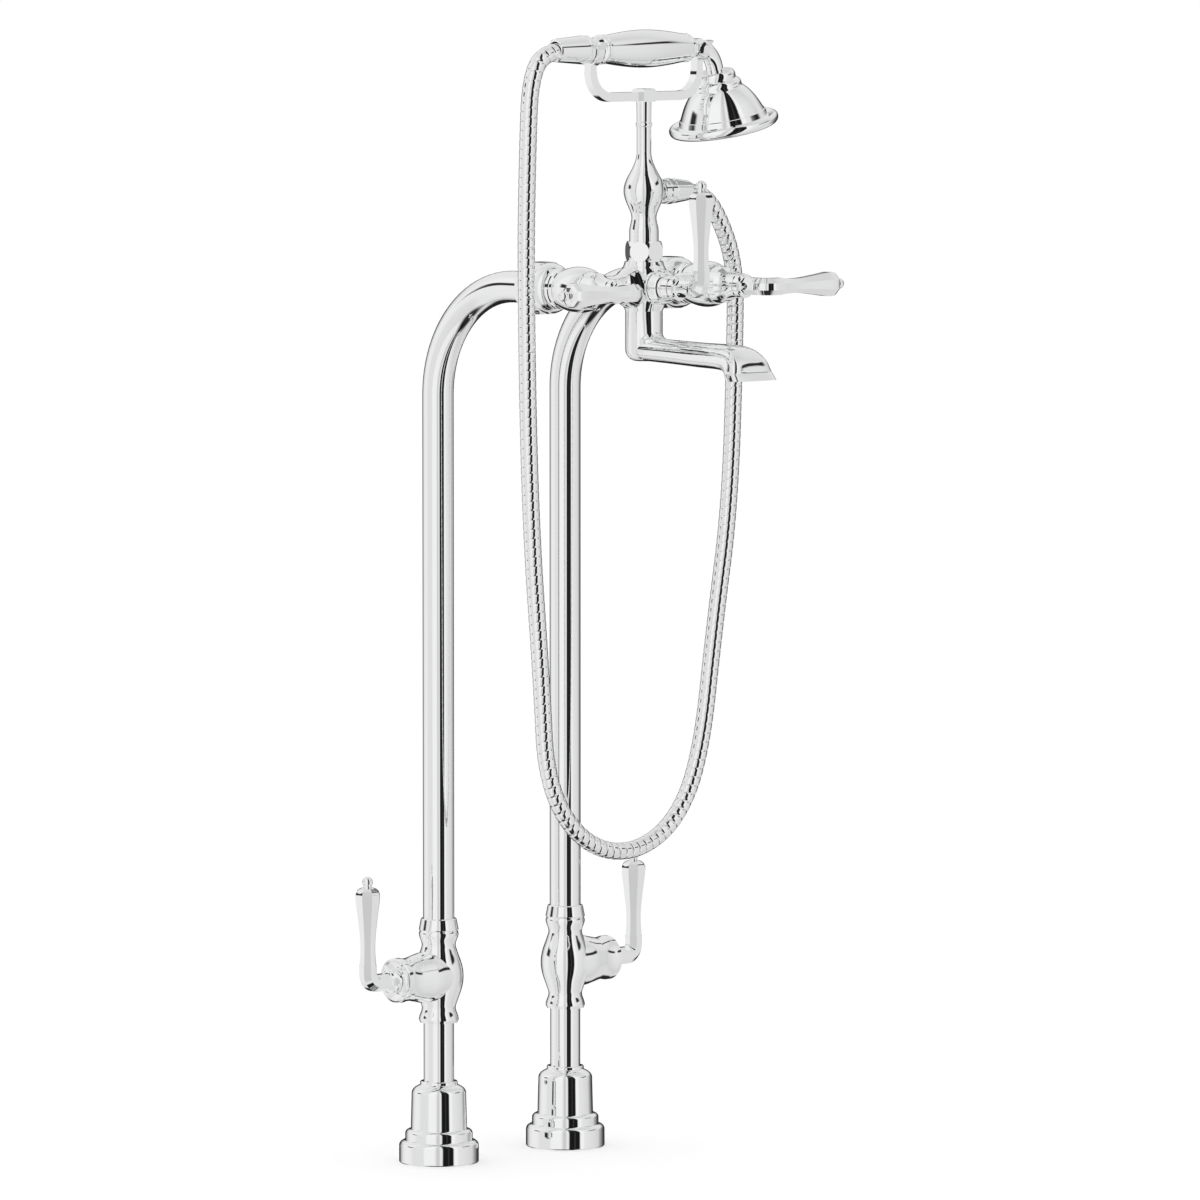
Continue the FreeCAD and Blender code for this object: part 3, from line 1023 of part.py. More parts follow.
# ---------------------------------------------------------------- write every sub-part
LEVER = lever()
LEVER_SCREW = lever_screw()
MIXER_AXIS = V(0, MIXER_Y, MIXER_HEIGHT)
for side, x in LEG_X.items():
    out = OUTWARD[side]
    foot = V(x, 0, 0)
    axis = V(x, 0, STOP_HEIGHT)
    stub_top = VALVE_BOTTOM + SOCKET_DEPTH - WASHER_THICK
    save(aim(floor_flange(), foot, UP), side + "_floor_flange")
    save(aim(base_cover(out), foot, UP), side + "_base_cover")
    save(aim(ring(STUB_OD / 2, STUB_OD / 2 - STUB_WALL, INLET_DEPTH, stub_top), foot, UP), side + "_stub_pipe")
    save(aim(stop_body(out), axis, UP), side + "_stop_body")
    valve(side + "_stop", axis, out, UP, STOP_BOSS_END, STOP_BOSS_END + STOP_BONNET_LENGTH, stop_bonnet())
    save(aim(riser_collar(), V(x, 0, VALVE_TOP), UP), side + "_riser_collar")
    save(riser(x), side + "_riser")
    save(aim(union_nut(), V(x, MIXER_Y, MIXER_HEIGHT), V(0, 1, 0)), side + "_union_nut")
screws = [aim(cover_screw(OUTWARD[side]), V(LEG_X[side], 0, 0), UP) for side in LEG_X]
save(Part.makeCompound(screws), "cover_grub_screws")
save(pipe_washers(), "pipe_washers")
save(mixer_body(), "mixer_body")
for name, side in (("hot", "left"), ("cold", "right")):
    axis = MIXER_AXIS + V(LEG_X[side], 0, 0)
    valve(name, axis, FRONT, OUTWARD[side], MIXER_SEAT, MIXER_SEAT + MIXER_BONNET_LENGTH, mixer_bonnet())
valve("diverter", MIXER_AXIS, FRONT, UP, HUB_SEAT, HUB_SEAT + DIVERTER_BONNET_LENGTH, diverter_bonnet())
save(spout(), "spout")
save(flow_insert(), "spout_flow_insert")
save(hub_gaskets(), "hub_gaskets")
save(column_nut(), "column_nut")
save(column(), "swan_column")
save(cradle(), "cradle_fork")
save(cradle_screw(), "cradle_screw")
save(hose_outlet(), "hose_outlet")
save(outlet_nut(), "outlet_hose_nut")
save(hose(), "shower_hose")
save(hose_nut(), "handset_hose_nut")
save(handset_collar(), "handset_collar")
save(handset_grip(), "handset_grip")
save(handset_neck(), "handset_neck")
save(rose(), "handset_bell")
save(spray_plate(), "spray_plate")
save(spray_gasket(), "spray_gasket")
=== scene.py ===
# %% [markdown]
# # A floor standing bath filler in Blender
#
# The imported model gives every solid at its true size. This script dresses it: it gives each
# solid its finish, hangs the ribbed hose, and builds the small photo studio around it.
# Polished chrome has no colour of its own, so most of the look is in what it reflects.

import bpy
import bmesh
import json
import math
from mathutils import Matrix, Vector


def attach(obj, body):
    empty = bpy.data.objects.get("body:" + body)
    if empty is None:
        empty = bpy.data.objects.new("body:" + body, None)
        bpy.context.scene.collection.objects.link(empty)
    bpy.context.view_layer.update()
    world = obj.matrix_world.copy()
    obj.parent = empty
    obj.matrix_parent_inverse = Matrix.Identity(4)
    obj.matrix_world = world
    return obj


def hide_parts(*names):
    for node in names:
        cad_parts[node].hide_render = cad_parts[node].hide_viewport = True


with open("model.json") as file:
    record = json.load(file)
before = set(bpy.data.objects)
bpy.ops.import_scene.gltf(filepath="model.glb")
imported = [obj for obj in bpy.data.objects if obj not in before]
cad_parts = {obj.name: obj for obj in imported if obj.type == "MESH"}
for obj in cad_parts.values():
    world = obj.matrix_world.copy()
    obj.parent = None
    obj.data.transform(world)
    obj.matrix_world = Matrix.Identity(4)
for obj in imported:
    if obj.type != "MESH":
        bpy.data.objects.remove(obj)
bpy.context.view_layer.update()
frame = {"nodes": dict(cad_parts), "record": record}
NODES = frame["nodes"]
SCENE = bpy.context.scene

# %% [markdown]
# ## The camera
#
# The photograph was taken from far away with a long lens, from the front left and slightly above.
# The lens and the place were worked out from the two upright legs, their feet on the floor
# and the level arms of the mixer.

# %% Camera
IMAGE_SIDE = 1200
SENSOR_WIDTH = 36.0
FAR_CLIP = 60.0
FOCAL_PIXELS = 9758.99
LOOK_TURN = math.radians(44.0654)
LOOK_DOWN = math.radians(4.5621)
EYE = Vector((-5.74345, -6.05472, 1.14417))


def add_camera():
    lens = bpy.data.cameras.new("camera")
    lens.sensor_width = SENSOR_WIDTH
    lens.lens = FOCAL_PIXELS * SENSOR_WIDTH / IMAGE_SIDE
    lens.clip_end = FAR_CLIP
    camera = bpy.data.objects.new("camera", lens)
    camera.location = EYE
    camera.rotation_euler = (math.pi / 2 - LOOK_DOWN, 0.0, -LOOK_TURN)
    SCENE.collection.objects.link(camera)
    SCENE.camera = camera
    print("lens:", round(lens.lens, 1), "mm")


add_camera()

# %% [markdown]
# ## The hose's line
#
# A shower hose is stiff for its weight, so it hangs in one long smooth loop from the handset's
# nut to the outlet on the column. These are the corners that the part's own hose goes round,
# in metres. The part rounds each corner with an arc, and here a NURBS curve of order 3 does much
# the same: it bends from the middle of one stretch to the middle of the next.

# %% Hose route
HOSE_DIAMETER = 0.0144
HOSE_PLANE = -0.174
CURVE_STEPS = 24
HOSE_START = Vector((-0.0894, HOSE_PLANE, 0.9536))
HOSE_END = Vector((0.0376, HOSE_PLANE, 0.8330))
HOSE_CORNERS = [(-0.1154, 0.9536), (-0.1320, 0.9313), (-0.1352, 0.8771), (-0.1378, 0.7711),
                (-0.1329, 0.5661), (-0.1192, 0.4234), (-0.1142, 0.3405), (-0.0756, 0.2884),
                (-0.0192, 0.2722), (0.0354, 0.2939), (0.0675, 0.3479), (0.0846, 0.4643),
                (0.1025, 0.5635), (0.1083, 0.6993), (0.1088, 0.7691), (0.0863, 0.8152),
                (0.0638, 0.8330)]


def hose_curve():
    curve = bpy.data.curves.new("hose_route", "CURVE")
    curve.dimensions = "3D"
    spline = curve.splines.new("NURBS")
    corners = [HOSE_START] + [Vector((x, HOSE_PLANE, z)) for x, z in HOSE_CORNERS] + [HOSE_END]
    spline.points.add(len(corners) - 1)
    for point, corner in zip(spline.points, corners):
        point.co = (*corner, 1.0)
    spline.order_u = 3
    spline.use_endpoint_u = True
    spline.resolution_u = CURVE_STEPS
    return curve


def curve_points(curve):
    holder = bpy.data.objects.new("route_reader", curve)
    SCENE.collection.objects.link(holder)
    bpy.context.view_layer.update()
    line = bpy.data.meshes.new_from_object(holder)
    points = [v.co.copy() for v in line.vertices]
    bpy.data.objects.remove(holder)
    bpy.data.meshes.remove(line)
    return points


HOSE_LINE = hose_curve()
HOSE_POINTS = curve_points(HOSE_LINE)
HOSE_LENGTH = sum((b - a).length for a, b in zip(HOSE_POINTS, HOSE_POINTS[1:]))
print("hose:", len(HOSE_POINTS), "points,", round(HOSE_LENGTH, 4), "m")

# %% [markdown]
# ## Finishes
#
# Chrome is a metal with a nearly white reflection. A trace of noise in its roughness keeps it
# from looking like a perfect computer mirror, because real parts are polished on a buffing
# wheel. The patterns follow Object coordinates, in metres.

# %% Material helpers


def new_material(name):
    material = bpy.data.materials.new(name)
    material.use_nodes = True
    tree = material.node_tree
    shader = tree.nodes["Principled BSDF"]
    return material, tree, shader


def give(tree, value, socket):
    if isinstance(value, (int, float)):
        socket.default_value = value
    else:
        tree.links.new(value, socket)


def map_range(tree, value, from_low, from_high, to_low=0.0, to_high=1.0):
    node = tree.nodes.new("ShaderNodeMapRange")
    sockets = {"Value": value, "From Min": from_low, "From Max": from_high,
               "To Min": to_low, "To Max": to_high}
    for name, given in sockets.items():
        give(tree, given, node.inputs[name])
    return node.outputs["Result"]


def noise_of(tree, scale, detail=3.0):
    place = tree.nodes.new("ShaderNodeTexCoord")
    noise = tree.nodes.new("ShaderNodeTexNoise")
    noise.inputs["Scale"].default_value = scale
    noise.inputs["Detail"].default_value = detail
    tree.links.new(place.outputs["Object"], noise.inputs["Vector"])
    return noise


# Most of a noise lies between these two values, so they are spread over the whole range.
NOISE_LOW, NOISE_HIGH = 0.3, 0.7


def vary(tree, noise, low, high, socket):
    give(tree, map_range(tree, noise.outputs["Fac"], NOISE_LOW, NOISE_HIGH, low, high), socket)


def wavy(tree, noise, shader, depth):
    bump = tree.nodes.new("ShaderNodeBump")
    bump.inputs["Strength"].default_value = 1.0
    bump.inputs["Distance"].default_value = depth
    tree.links.new(noise.outputs["Fac"], bump.inputs["Height"])
    tree.links.new(bump.outputs["Normal"], shader.inputs["Normal"])


MOTTLE_SCALE = 220.0


def metal(name, colour, smooth, rough, wave=0.0, wave_scale=0.0):
    material, tree, shader = new_material(name)
    shader.inputs["Base Color"].default_value = (*colour, 1.0)
    shader.inputs["Metallic"].default_value = 1.0
    vary(tree, noise_of(tree, MOTTLE_SCALE), smooth, rough, shader.inputs["Roughness"])
    if wave:
        wavy(tree, noise_of(tree, wave_scale, 1.0), shader, wave)
    return material


# %% [markdown]
# What is seen is nearly all chrome, a little duller on the hose. The floor flanges and the
# cartridges are machined brass, and the spindles and screws plain steel, each with the fine
# marks of a tool as a shallow bump. Washers and gaskets are rubber, and the spray plate and the
# spout's insert are grey plastic: there a slight mottle of two shades replaces one flat colour.

# %% Finishes of this part
TOOL_MARKS = 0.00002
CHROME = metal("polished_chrome", (0.965, 0.968, 0.97), 0.02, 0.045)
HOSE_STEEL = metal("hose_chrome", (0.95, 0.952, 0.955), 0.04, 0.09)
BRASS = metal("machined_brass", (0.80, 0.60, 0.30), 0.22, 0.32, TOOL_MARKS, 400.0)
STEEL = metal("plain_steel", (0.55, 0.56, 0.58), 0.20, 0.30, TOOL_MARKS, 500.0)
PLAIN_MOTTLE_SCALE = 160.0


def plain(name, colour, darker, smooth, rough):
    material, tree, shader = new_material(name)
    noise = noise_of(tree, PLAIN_MOTTLE_SCALE)
    mix = tree.nodes.new("ShaderNodeMix")
    mix.data_type = "RGBA"
    mix.inputs["A"].default_value = (*darker, 1.0)
    mix.inputs["B"].default_value = (*colour, 1.0)
    tree.links.new(noise.outputs["Fac"], mix.inputs["Factor"])
    tree.links.new(mix.outputs["Result"], shader.inputs["Base Color"])
    vary(tree, noise, smooth, rough, shader.inputs["Roughness"])
    return material


RUBBER = plain("black_rubber", (0.030, 0.030, 0.032), (0.020, 0.020, 0.021), 0.55, 0.75)
SPRAY_GREY = plain("grey_spray_plate", (0.52, 0.53, 0.54), (0.47, 0.48, 0.49), 0.35, 0.5)
SLOT_FINISH = {"chrome": CHROME, "hose": HOSE_STEEL, "brass": BRASS, "steel": STEEL, "rubber": RUBBER,
               "plastic": SPRAY_GREY}
print("finishes:", sorted(SLOT_FINISH))

# %% [markdown]
# ## Dress the solids
#
# The model arrives as loose triangles. A small Geometry Nodes tree welds them for shading,
# and marks every edge sharper than a limit as sharp, so that turned faces run smooth while
# nuts and levers keep their crisp facets.

# %% Smoothing tree
SHARP_ANGLE = 24.0
WELD_DISTANCE = 0.000004


def smoothing_tree():
    tree = bpy.data.node_groups.new("weld_and_smooth", "GeometryNodeTree")
    tree.interface.new_socket("Geometry", in_out="INPUT", socket_type="NodeSocketGeometry")
    limit = tree.interface.new_socket("Sharp Angle", in_out="INPUT", socket_type="NodeSocketFloat")
    limit.default_value = math.radians(SHARP_ANGLE)
    tree.interface.new_socket("Geometry", in_out="OUTPUT", socket_type="NodeSocketGeometry")
    start = tree.nodes.new("NodeGroupInput")
    end = tree.nodes.new("NodeGroupOutput")
    weld = tree.nodes.new("GeometryNodeMergeByDistance")
    weld.inputs["Distance"].default_value = WELD_DISTANCE
    faces = tree.nodes.new("GeometryNodeSetShadeSmooth")
    faces.domain = "FACE"
    faces.inputs["Shade Smooth"].default_value = True
    angle = tree.nodes.new("GeometryNodeInputMeshEdgeAngle")
    sharper = tree.nodes.new("FunctionNodeCompare")
    sharper.operation = "GREATER_THAN"
    edges = tree.nodes.new("GeometryNodeSetShadeSmooth")
    edges.domain = "EDGE"
    edges.inputs["Shade Smooth"].default_value = False
    link = tree.links.new
    link(start.outputs["Geometry"], weld.inputs["Geometry"])
    link(weld.outputs["Geometry"], faces.inputs["Geometry"])
    link(faces.outputs["Geometry"], edges.inputs["Geometry"])
    link(angle.outputs["Unsigned Angle"], sharper.inputs["A"])
    link(start.outputs["Sharp Angle"], sharper.inputs["B"])
    link(sharper.outputs["Result"], edges.inputs["Selection"])
    link(edges.outputs["Geometry"], end.inputs["Geometry"])
    return tree


SMOOTHING = smoothing_tree()
print("smoothing tree:", len(SMOOTHING.nodes), "nodes")

# %% [markdown]
# The record names a material slot for every solid. One loop gives each its finish, and the tree
# above as a modifier, so the solids' own meshes stay as they came.

# %% Give every solid its finish
SLOTS = {part["node"]: part["material_slot"] for part in frame["record"]["subparts"]}


def dress(name):
    solid = NODES[name]
    finish = SLOT_FINISH[SLOTS[name]]
    solid.data.materials.clear()
    solid.data.materials.append(finish)
    modifier = solid.modifiers.new("smooth", "NODES")
    modifier.node_group = SMOOTHING


for name in NODES:
    dress(name)
print("dressed:", len(NODES))

# %% [markdown]
# ## The ribbed hose
#
# A metal shower hose is a narrow steel strip wound in a spiral, each turn hooked into the next.
# What shows is a band that stands out, then a narrow seam, all along the hose. Geometry Nodes
# wrap a grid round the hose's line: each point of the grid knows how far along it lies and
# how far round, and its radius follows from where it falls in the band's pitch.

# %% Hose sizes
HOSE_PITCH = 0.0078
HOSE_SEAM = 0.0013
HOSE_SEAM_DEPTH = 0.0004
ROUND = 40
ROWS_EACH_TURN = 8
# The seam is a rounded valley: how far through a turn's rows, and which share of its depth.
VALLEY = [(0.0, 0.2), (0.125, 1.0), (0.25, 1.0), (0.375, 1.0), (0.5, 0.2), (0.625, 0.03), (0.75, 0.0),
          (0.875, 0.03), (1.0, 0.2)]
# A little more than the rounding of a row's number, so that no row falls into the turn before.
NUDGE = 0.0001
TURNS = math.ceil(HOSE_LENGTH / HOSE_PITCH) + 2
ROWS = TURNS * ROWS_EACH_TURN + 1
print("hose:", TURNS, "turns,", ROWS, "rows")

# %% Node helpers


def add_input(tree, name, kind, value):
    tree.interface.new_socket(name, in_out="INPUT", socket_type=kind).default_value = value


def maths(tree, operation, first, second=None):
    node = tree.nodes.new("ShaderNodeMath")
    node.operation = operation
    give(tree, first, node.inputs[0])
    if second is not None:
        give(tree, second, node.inputs[1])
    return node.outputs[0]


def vectors(tree, operation, first, second):
    node = tree.nodes.new("ShaderNodeVectorMath")
    node.operation = operation
    tree.links.new(first, node.inputs[0])
    tree.links.new(second, node.inputs["Scale"] if operation == "SCALE" else node.inputs[1])
    return node.outputs[0]


# %% [markdown]
# First the grid. It is one unit each way about its middle, so once half a unit is added, x runs
# 0 to 1 along the hose and y runs 0 to 1 round it. A point's row then tells which turn of the
# strip it is on, and how far through that turn it is, which is its phase.

# %% The grid and its rows


def hose_grid(tree):
    grid = tree.nodes.new("GeometryNodeMeshGrid")
    sizes = {"Size X": 1.0, "Size Y": 1.0, "Vertices X": ROWS, "Vertices Y": ROUND + 1}
    for name, value in sizes.items():
        grid.inputs[name].default_value = value
    place = tree.nodes.new("GeometryNodeInputPosition")
    apart = tree.nodes.new("ShaderNodeSeparateXYZ")
    tree.links.new(place.outputs[0], apart.inputs[0])
    row = maths(tree, "MULTIPLY", maths(tree, "ADD", apart.outputs["X"], 0.5), ROWS - 1.0)
    around = maths(tree, "ADD", apart.outputs["Y"], 0.5)
    return grid.outputs["Mesh"], row, around


# %% [markdown]
# Rows crowd at the seam, where the shape changes quickly: the first half of a turn's rows cross
# it, and the rest span the band. Adding the share of a full round to the row's turn winds the
# rings into a spiral.

# %% How far along each point lies


def hose_distance(tree, turn, phase, around, pitch, seam):
    share = maths(tree, "DIVIDE", seam, pitch)
    picked = tree.nodes.new("GeometryNodeSwitch")
    picked.input_type = "FLOAT"
    tree.links.new(maths(tree, "LESS_THAN", phase, 0.5 - NUDGE), picked.inputs["Switch"])
    tree.links.new(map_range(tree, phase, 0.5, 1.0, share, 1.0), picked.inputs["False"])
    tree.links.new(map_range(tree, phase, 0.0, 0.5, 0.0, share), picked.inputs["True"])
    turn_start = maths(tree, "FLOOR", turn)
    spiral = maths(tree, "SUBTRACT", maths(tree, "ADD", turn_start, picked.outputs[0]), 1.0)
    held = tree.nodes.new("ShaderNodeClamp")
    held.inputs["Min"].default_value = 0.0
    held.inputs["Max"].default_value = HOSE_LENGTH
    along = maths(tree, "MULTIPLY", maths(tree, "ADD", spiral, around), pitch)
    tree.links.new(along, held.inputs["Value"])
    return held.outputs[0]


# %% [markdown]
# The strip's hooked edges are rounded, so the seam can't be a square step. A Float Curve node
# draws its cross section once, and every turn reads the same curve by its phase.

# %% How far out each point lies


def hose_radius(tree, row, phase, radius, depth):
    valley = tree.nodes.new("ShaderNodeFloatCurve")
    valley.inputs["Factor"].default_value = 1.0
    points = valley.mapping.curves[0].points
    points[0].location, points[1].location = VALLEY[0], VALLEY[-1]
    for x, y in VALLEY[1:-1]:
        points.new(x, y)
    for point in points:
        point.handle_type = "VECTOR"
    valley.mapping.update()
    tree.links.new(phase, valley.inputs["Value"])
    radius = maths(tree, "SUBTRACT", radius, maths(tree, "MULTIPLY", valley.outputs[0], depth))
    # The first and last rows are drawn in to a point, which closes the ends.
    after_first = maths(tree, "GREATER_THAN", row, 0.5)
    before_last = maths(tree, "LESS_THAN", row, ROWS - 1.5)
    return maths(tree, "MULTIPLY", radius, maths(tree, "MULTIPLY", after_first, before_last))


# %% [markdown]
# Then each point goes to its place: along the line by its distance, and out from the line by its
# radius. The loop hangs in one upright plane, so one of the two directions across the hose is
# always that plane's normal, and the hose can't twist as it is wound.

# %% Onto the hose's line


def on_the_line(tree, line, distance, around, radius):
    to_curve = tree.nodes.new("GeometryNodeMeshToCurve")
    sample = tree.nodes.new("GeometryNodeSampleCurve")
    sample.mode = "LENGTH"
    tree.links.new(line, to_curve.inputs["Mesh"])
    tree.links.new(to_curve.outputs["Curve"], sample.inputs["Curves"])
    tree.links.new(distance, sample.inputs["Length"])
    across = tree.nodes.new("ShaderNodeCombineXYZ")
    across.inputs["Y"].default_value = 1.0
    other = vectors(tree, "CROSS_PRODUCT", sample.outputs["Tangent"], across.outputs[0])
    angle = maths(tree, "MULTIPLY", around, 2 * math.pi)
    across_part = maths(tree, "MULTIPLY", maths(tree, "COSINE", angle), radius)
    other_part = maths(tree, "MULTIPLY", maths(tree, "SINE", angle), radius)
    one = vectors(tree, "SCALE", across.outputs[0], across_part)
    two = vectors(tree, "SCALE", other, other_part)
    return vectors(tree, "ADD", sample.outputs["Position"], vectors(tree, "ADD", one, two))


# %% [markdown]
# Last the whole tree. The hose's radius, pitch and seam are named inputs, so they can be changed
# without touching a node. It ends in Realize Instances and Set Material, so that what comes out
# is real faces with their finish.

# %% Hose tree
SEAM_WELD = 0.000002


def hose_tree():
    tree = bpy.data.node_groups.new("wound_hose", "GeometryNodeTree")
    tree.interface.new_socket("Geometry", in_out="INPUT", socket_type="NodeSocketGeometry")
    add_input(tree, "Radius", "NodeSocketFloat", HOSE_DIAMETER / 2)
    add_input(tree, "Pitch", "NodeSocketFloat", HOSE_PITCH)
    add_input(tree, "Seam Width", "NodeSocketFloat", HOSE_SEAM)
    add_input(tree, "Seam Depth", "NodeSocketFloat", HOSE_SEAM_DEPTH)
    add_input(tree, "Finish", "NodeSocketMaterial", HOSE_STEEL)
    tree.interface.new_socket("Geometry", in_out="OUTPUT", socket_type="NodeSocketGeometry")
    given = tree.nodes.new("NodeGroupInput").outputs
    mesh, row, around = hose_grid(tree)
    turn = maths(tree, "ADD", maths(tree, "DIVIDE", row, float(ROWS_EACH_TURN)), NUDGE)
    phase = maths(tree, "FRACT", turn)
    distance = hose_distance(tree, turn, phase, around, given["Pitch"], given["Seam Width"])
    radius = hose_radius(tree, row, phase, given["Radius"], given["Seam Depth"])
    place = on_the_line(tree, given["Geometry"], distance, around, radius)
    move = tree.nodes.new("GeometryNodeSetPosition")
    tree.links.new(mesh, move.inputs["Geometry"])
    tree.links.new(place, move.inputs["Position"])
    weld = tree.nodes.new("GeometryNodeMergeByDistance")
    weld.inputs["Distance"].default_value = SEAM_WELD
    finish = tree.nodes.new("GeometryNodeSetMaterial")
    tree.links.new(given["Finish"], finish.inputs["Material"])
    chain = [move, weld, tree.nodes.new("GeometryNodeSetShadeSmooth"),
             tree.nodes.new("GeometryNodeRealizeInstances"), finish, tree.nodes.new("NodeGroupOutput")]
    for before, after in zip(chain, chain[1:]):
        tree.links.new(before.outputs["Geometry"], after.inputs["Geometry"])
    return tree


HOSE_TREE = hose_tree()
print("hose tree:", len(HOSE_TREE.nodes), "nodes")

# %% [markdown]
# A tree only shows its result while its modifier is on. The evaluated mesh is copied into a plain
# one and the modifier goes, which leaves a mesh like any other. Its slivers are dissolved and
# its faces turned outwards.

# %% Make a plain mesh from a tree
SLIVER = 0.0000005


def line_mesh(name, points):
    mesh = bpy.data.meshes.new(name)
    mesh.from_pydata(points, [(k, k + 1) for k in range(len(points) - 1)], [])
    return mesh


def made_by(tree, name, seed_mesh, finish):
    seed = bpy.data.objects.new(name + "_seed", seed_mesh)
    SCENE.collection.objects.link(seed)
    modifier = seed.modifiers.new("tree", "NODES")
    modifier.node_group = tree
    inputs = [item for item in tree.interface.items_tree
              if item.item_type == "SOCKET" and item.in_out == "INPUT"]
    for item in inputs:
        if item.socket_type == "NodeSocketMaterial":
            modifier[item.identifier] = finish
    bpy.context.view_layer.update()
    evaluated = seed.evaluated_get(bpy.context.evaluated_depsgraph_get())
    mesh = bpy.data.meshes.new_from_object(evaluated)
    mesh.name = name
    bpy.data.objects.remove(seed)
    piece = bpy.data.objects.new(name, mesh)
    SCENE.collection.objects.link(piece)
    return piece


def face_outwards(piece):
    work = bmesh.new()
    work.from_mesh(piece.data)
    bmesh.ops.dissolve_degenerate(work, dist=SLIVER, edges=work.edges)
    bmesh.ops.recalc_face_normals(work, faces=work.faces)
    work.to_mesh(piece.data)
    work.free()


# %% [markdown]
# The hose hangs from the two nuts and stays with the standing pipes, because the handset only
# rolls about its own axis and the hose's end turns freely in its nut. It takes the place of the
# part's plainer hose.

# %% The hose itself


def add_hose():
    piece = made_by(HOSE_TREE, "wound_hose", line_mesh("hose_line", HOSE_POINTS), HOSE_STEEL)
    face_outwards(piece)
    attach(piece, "standpipes")
    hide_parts("shower_hose")
    print("hose faces:", len(piece.data.polygons))


add_hose()

# %% [markdown]
# ## The studio
#
# Chrome shows the room. Here the room is the world itself: the camera sees plain white, a soft
# pale light falls from all sides, and only reflections see the panels and dark flags. A tall
# dark flag stands to the right of the camera, and gives every upright pipe its one black line.
# Dark flags behind the object, level and low, draw the thin outline that makes bright metal stand
# out on white. Two narrow ones hang far to the left and right, a little above level.

# %% Panels and flags
# Degrees round from the camera's side, positive to its right, and the shade that stands there.
DARK = 0.010
PANELS = [(-180, 0.80), (-125, 0.82), (-108, 0.89), (-88, 0.86), (-80, 0.78), (-46, 0.78), (-41, 0.92),
          (-13, 0.92), (-9, 0.80), (-4, 0.62), (1, 0.62), (5, 0.84), (10, 0.84), (13, DARK), (26, DARK),
          (29, 0.045), (32, DARK), (43, DARK), (46, 0.93), (56, 0.93), (60, 0.82), (80, 0.78), (95, 0.74),
          (110, 0.69), (125, 0.75), (180, 0.80)]
# Degrees up from level: the ceiling is a little darker, and right under the object it is nearly black.
UP_AND_DOWN = [(-90, 0.03), (-76, 0.03), (-64, 0.90), (-30, 0.95), (-12, 0.97), (0, 0.97), (12, 1.0),
               (40, 1.0), (60, 0.92), (90, 0.85)]
# Each flag has its reach in degrees, and how strongly it darkens there. "height" or "round" says
# which way that reach is measured. Its shades follow, in degrees the other way.
FLAGS = {
    "behind, level": ([(-90, 0), (-20, 0), (-12, 1), (8, 1), (22, 0), (90, 0)],
                      ("height", [(-180, 0.02), (-155, 0.03), (-142, 0.55), (-125, 1), (112, 1), (122, 0.6),
                                  (140, 0.15), (160, 0.03), (180, 0.02)])),
    "behind, low": ([(-90, 0), (-60, 0), (-48, 1), (-12, 1), (4, 0), (90, 0)],
                    ("height", [(-180, 0.02), (-157, 0.03), (-147, 1), (150, 1), (160, 0.03), (180, 0.02)])),
    "right": ([(-180, 0), (72, 0), (80, 1), (104, 1), (114, 0), (180, 0)],
              ("round", [(-180, 1), (19, 1), (20.5, 0.03), (27.5, 0.03), (29, 1), (180, 1)])),
    "left": ([(-180, 0), (-108, 0), (-100, 1), (-86, 1), (-78, 0), (180, 0)],
             ("round", [(-180, 1), (6, 1), (7.5, 0.03), (18, 0.03), (20, 1), (180, 1)])),
}
print("panels:", len(PANELS), "stops,", len(FLAGS), "flags")

# %% [markdown]
# The world's shader works in degrees: round from the camera's side and up from level. One ramp
# holds the panels, a second shades them by height, and each flag darkens its own patch. A ray
# that the camera sends straight out sees plain white instead.

# %% Ramps and mixes


def ramp(tree, value, half_range, stops):
    node = tree.nodes.new("ShaderNodeValToRGB")
    elements = node.color_ramp.elements
    while len(elements) > 1:
        elements.remove(elements[0])
    for k, (place, shade) in enumerate(stops):
        where = (place + half_range) / (2 * half_range)
        element = elements[0] if k == 0 else elements.new(where)
        element.position = where
        element.color = (shade, shade, shade, 1.0)
    tree.links.new(map_range(tree, value, -half_range, half_range), node.inputs["Fac"])
    return node.outputs["Color"]


def darken(tree, factor, first, second):
    node = tree.nodes.new("ShaderNodeMix")
    node.data_type = "RGBA"
    node.blend_type = "MULTIPLY"
    give(tree, factor, node.inputs["Factor"])
    tree.links.new(first, node.inputs["A"])
    tree.links.new(second, node.inputs["B"])
    return node.outputs["Result"]


def choose(tree, ray, otherwise, chosen):
    node = tree.nodes.new("ShaderNodeMixShader")
    tree.links.new(ray, node.inputs[0])
    tree.links.new(otherwise, node.inputs[1])
    tree.links.new(chosen, node.inputs[2])
    return node.outputs[0]


def background(tree, strength):
    node = tree.nodes.new("ShaderNodeBackground")
    node.inputs["Color"].default_value = (1.0, 1.0, 1.0, 1.0)
    node.inputs["Strength"].default_value = strength
    return node


# %% World
FULL_TURN, FULL_HEIGHT = 180.0, 90.0
SOFT_LIGHT = 0.85


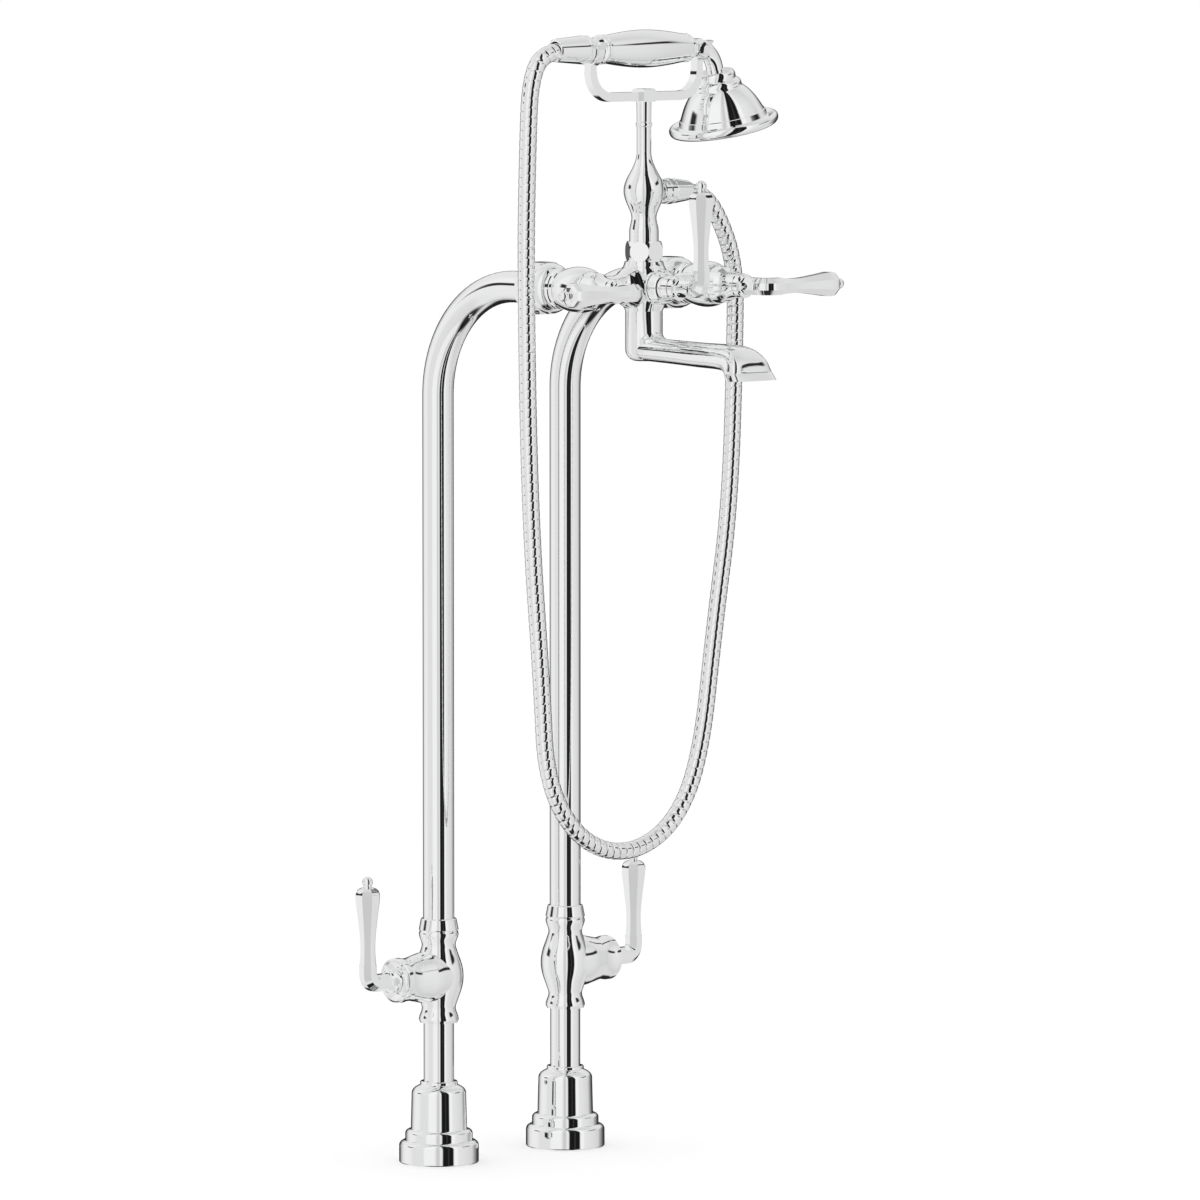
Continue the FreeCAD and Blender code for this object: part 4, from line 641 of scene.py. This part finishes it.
def studio_world():
    world = bpy.data.worlds.new("studio")
    world.use_nodes = True
    SCENE.world = world
    tree = world.node_tree
    tree.nodes.clear()
    out = tree.nodes.new("ShaderNodeOutputWorld")
    place = tree.nodes.new("ShaderNodeTexCoord")
    turn = tree.nodes.new("ShaderNodeVectorRotate")
    turn.rotation_type = "Z_AXIS"
    turn.inputs["Angle"].default_value = LOOK_TURN
    tree.links.new(place.outputs["Generated"], turn.inputs["Vector"])
    apart = tree.nodes.new("ShaderNodeSeparateXYZ")
    tree.links.new(turn.outputs[0], apart.inputs[0])
    # Degrees round from the camera's side, positive to the camera's right.
    towards_camera = maths(tree, "MULTIPLY", apart.outputs["Y"], -1.0)
    round_angle = maths(tree, "DEGREES", maths(tree, "ARCTAN2", apart.outputs["X"], towards_camera))
    height = maths(tree, "DEGREES", maths(tree, "ARCSINE", apart.outputs["Z"]))
    shade = ramp(tree, round_angle, FULL_TURN, PANELS)
    shade = darken(tree, 1.0, shade, ramp(tree, height, FULL_HEIGHT, UP_AND_DOWN))
    for reach, (measured, shades) in FLAGS.values():
        along, across = (round_angle, height) if measured == "round" else (height, round_angle)
        strength = ramp(tree, along, FULL_TURN, reach)
        shade = darken(tree, strength, shade, ramp(tree, across, FULL_TURN, shades))
    panels = background(tree, 1.0)
    tree.links.new(shade, panels.inputs["Color"])
    path = tree.nodes.new("ShaderNodeLightPath").outputs
    soft = background(tree, SOFT_LIGHT)
    plain_white = background(tree, 1.0)
    unseen = choose(tree, path["Is Glossy Ray"], soft.outputs[0], panels.outputs[0])
    seen = choose(tree, path["Is Camera Ray"], unseen, plain_white.outputs[0])
    tree.links.new(seen, out.inputs["Surface"])
    print("world:", len(tree.nodes), "nodes")


studio_world()
SCENE.view_settings.view_transform = "Standard"

# %% [markdown]
# ## The floor
#
# The photograph's ground is pure white. A round floor catches the soft shadow under the covers,
# and a little light of its own, which only the camera sees, lifts the rest of it to the same
# white as the world behind it. Reflections look through it to the studio's panels, so the
# pipes keep their dark line all the way down.

# %% Floor
FLOOR_RADIUS = 1.1
FLOOR_SIDES = 96
FLOOR_SHADE = 0.90
FLOOR_ROUGH = 0.9
FLOOR_LIFT = 0.27


def add_floor():
    work = bmesh.new()
    bmesh.ops.create_circle(work, cap_ends=True, radius=FLOOR_RADIUS, segments=FLOOR_SIDES)
    mesh = bpy.data.meshes.new("floor")
    work.to_mesh(mesh)
    work.free()
    floor = bpy.data.objects.new("floor", mesh)
    SCENE.collection.objects.link(floor)
    material, tree, shader = new_material("white_floor")
    shader.inputs["Base Color"].default_value = (FLOOR_SHADE, FLOOR_SHADE, FLOOR_SHADE, 1.0)
    shader.inputs["Roughness"].default_value = FLOOR_ROUGH
    shader.inputs["Specular IOR Level"].default_value = 0.0
    shader.inputs["Emission Color"].default_value = (1.0, 1.0, 1.0, 1.0)
    path = tree.nodes.new("ShaderNodeLightPath").outputs
    lift = maths(tree, "MULTIPLY", path["Is Camera Ray"], FLOOR_LIFT)
    tree.links.new(lift, shader.inputs["Emission Strength"])
    clear = tree.nodes.new("ShaderNodeBsdfTransparent")
    surface = choose(tree, path["Is Glossy Ray"], shader.outputs[0], clear.outputs[0])
    tree.links.new(surface, tree.nodes["Material Output"].inputs["Surface"])
    mesh.materials.append(material)
    print("floor:", 2 * FLOOR_RADIUS, "m across")


add_floor()
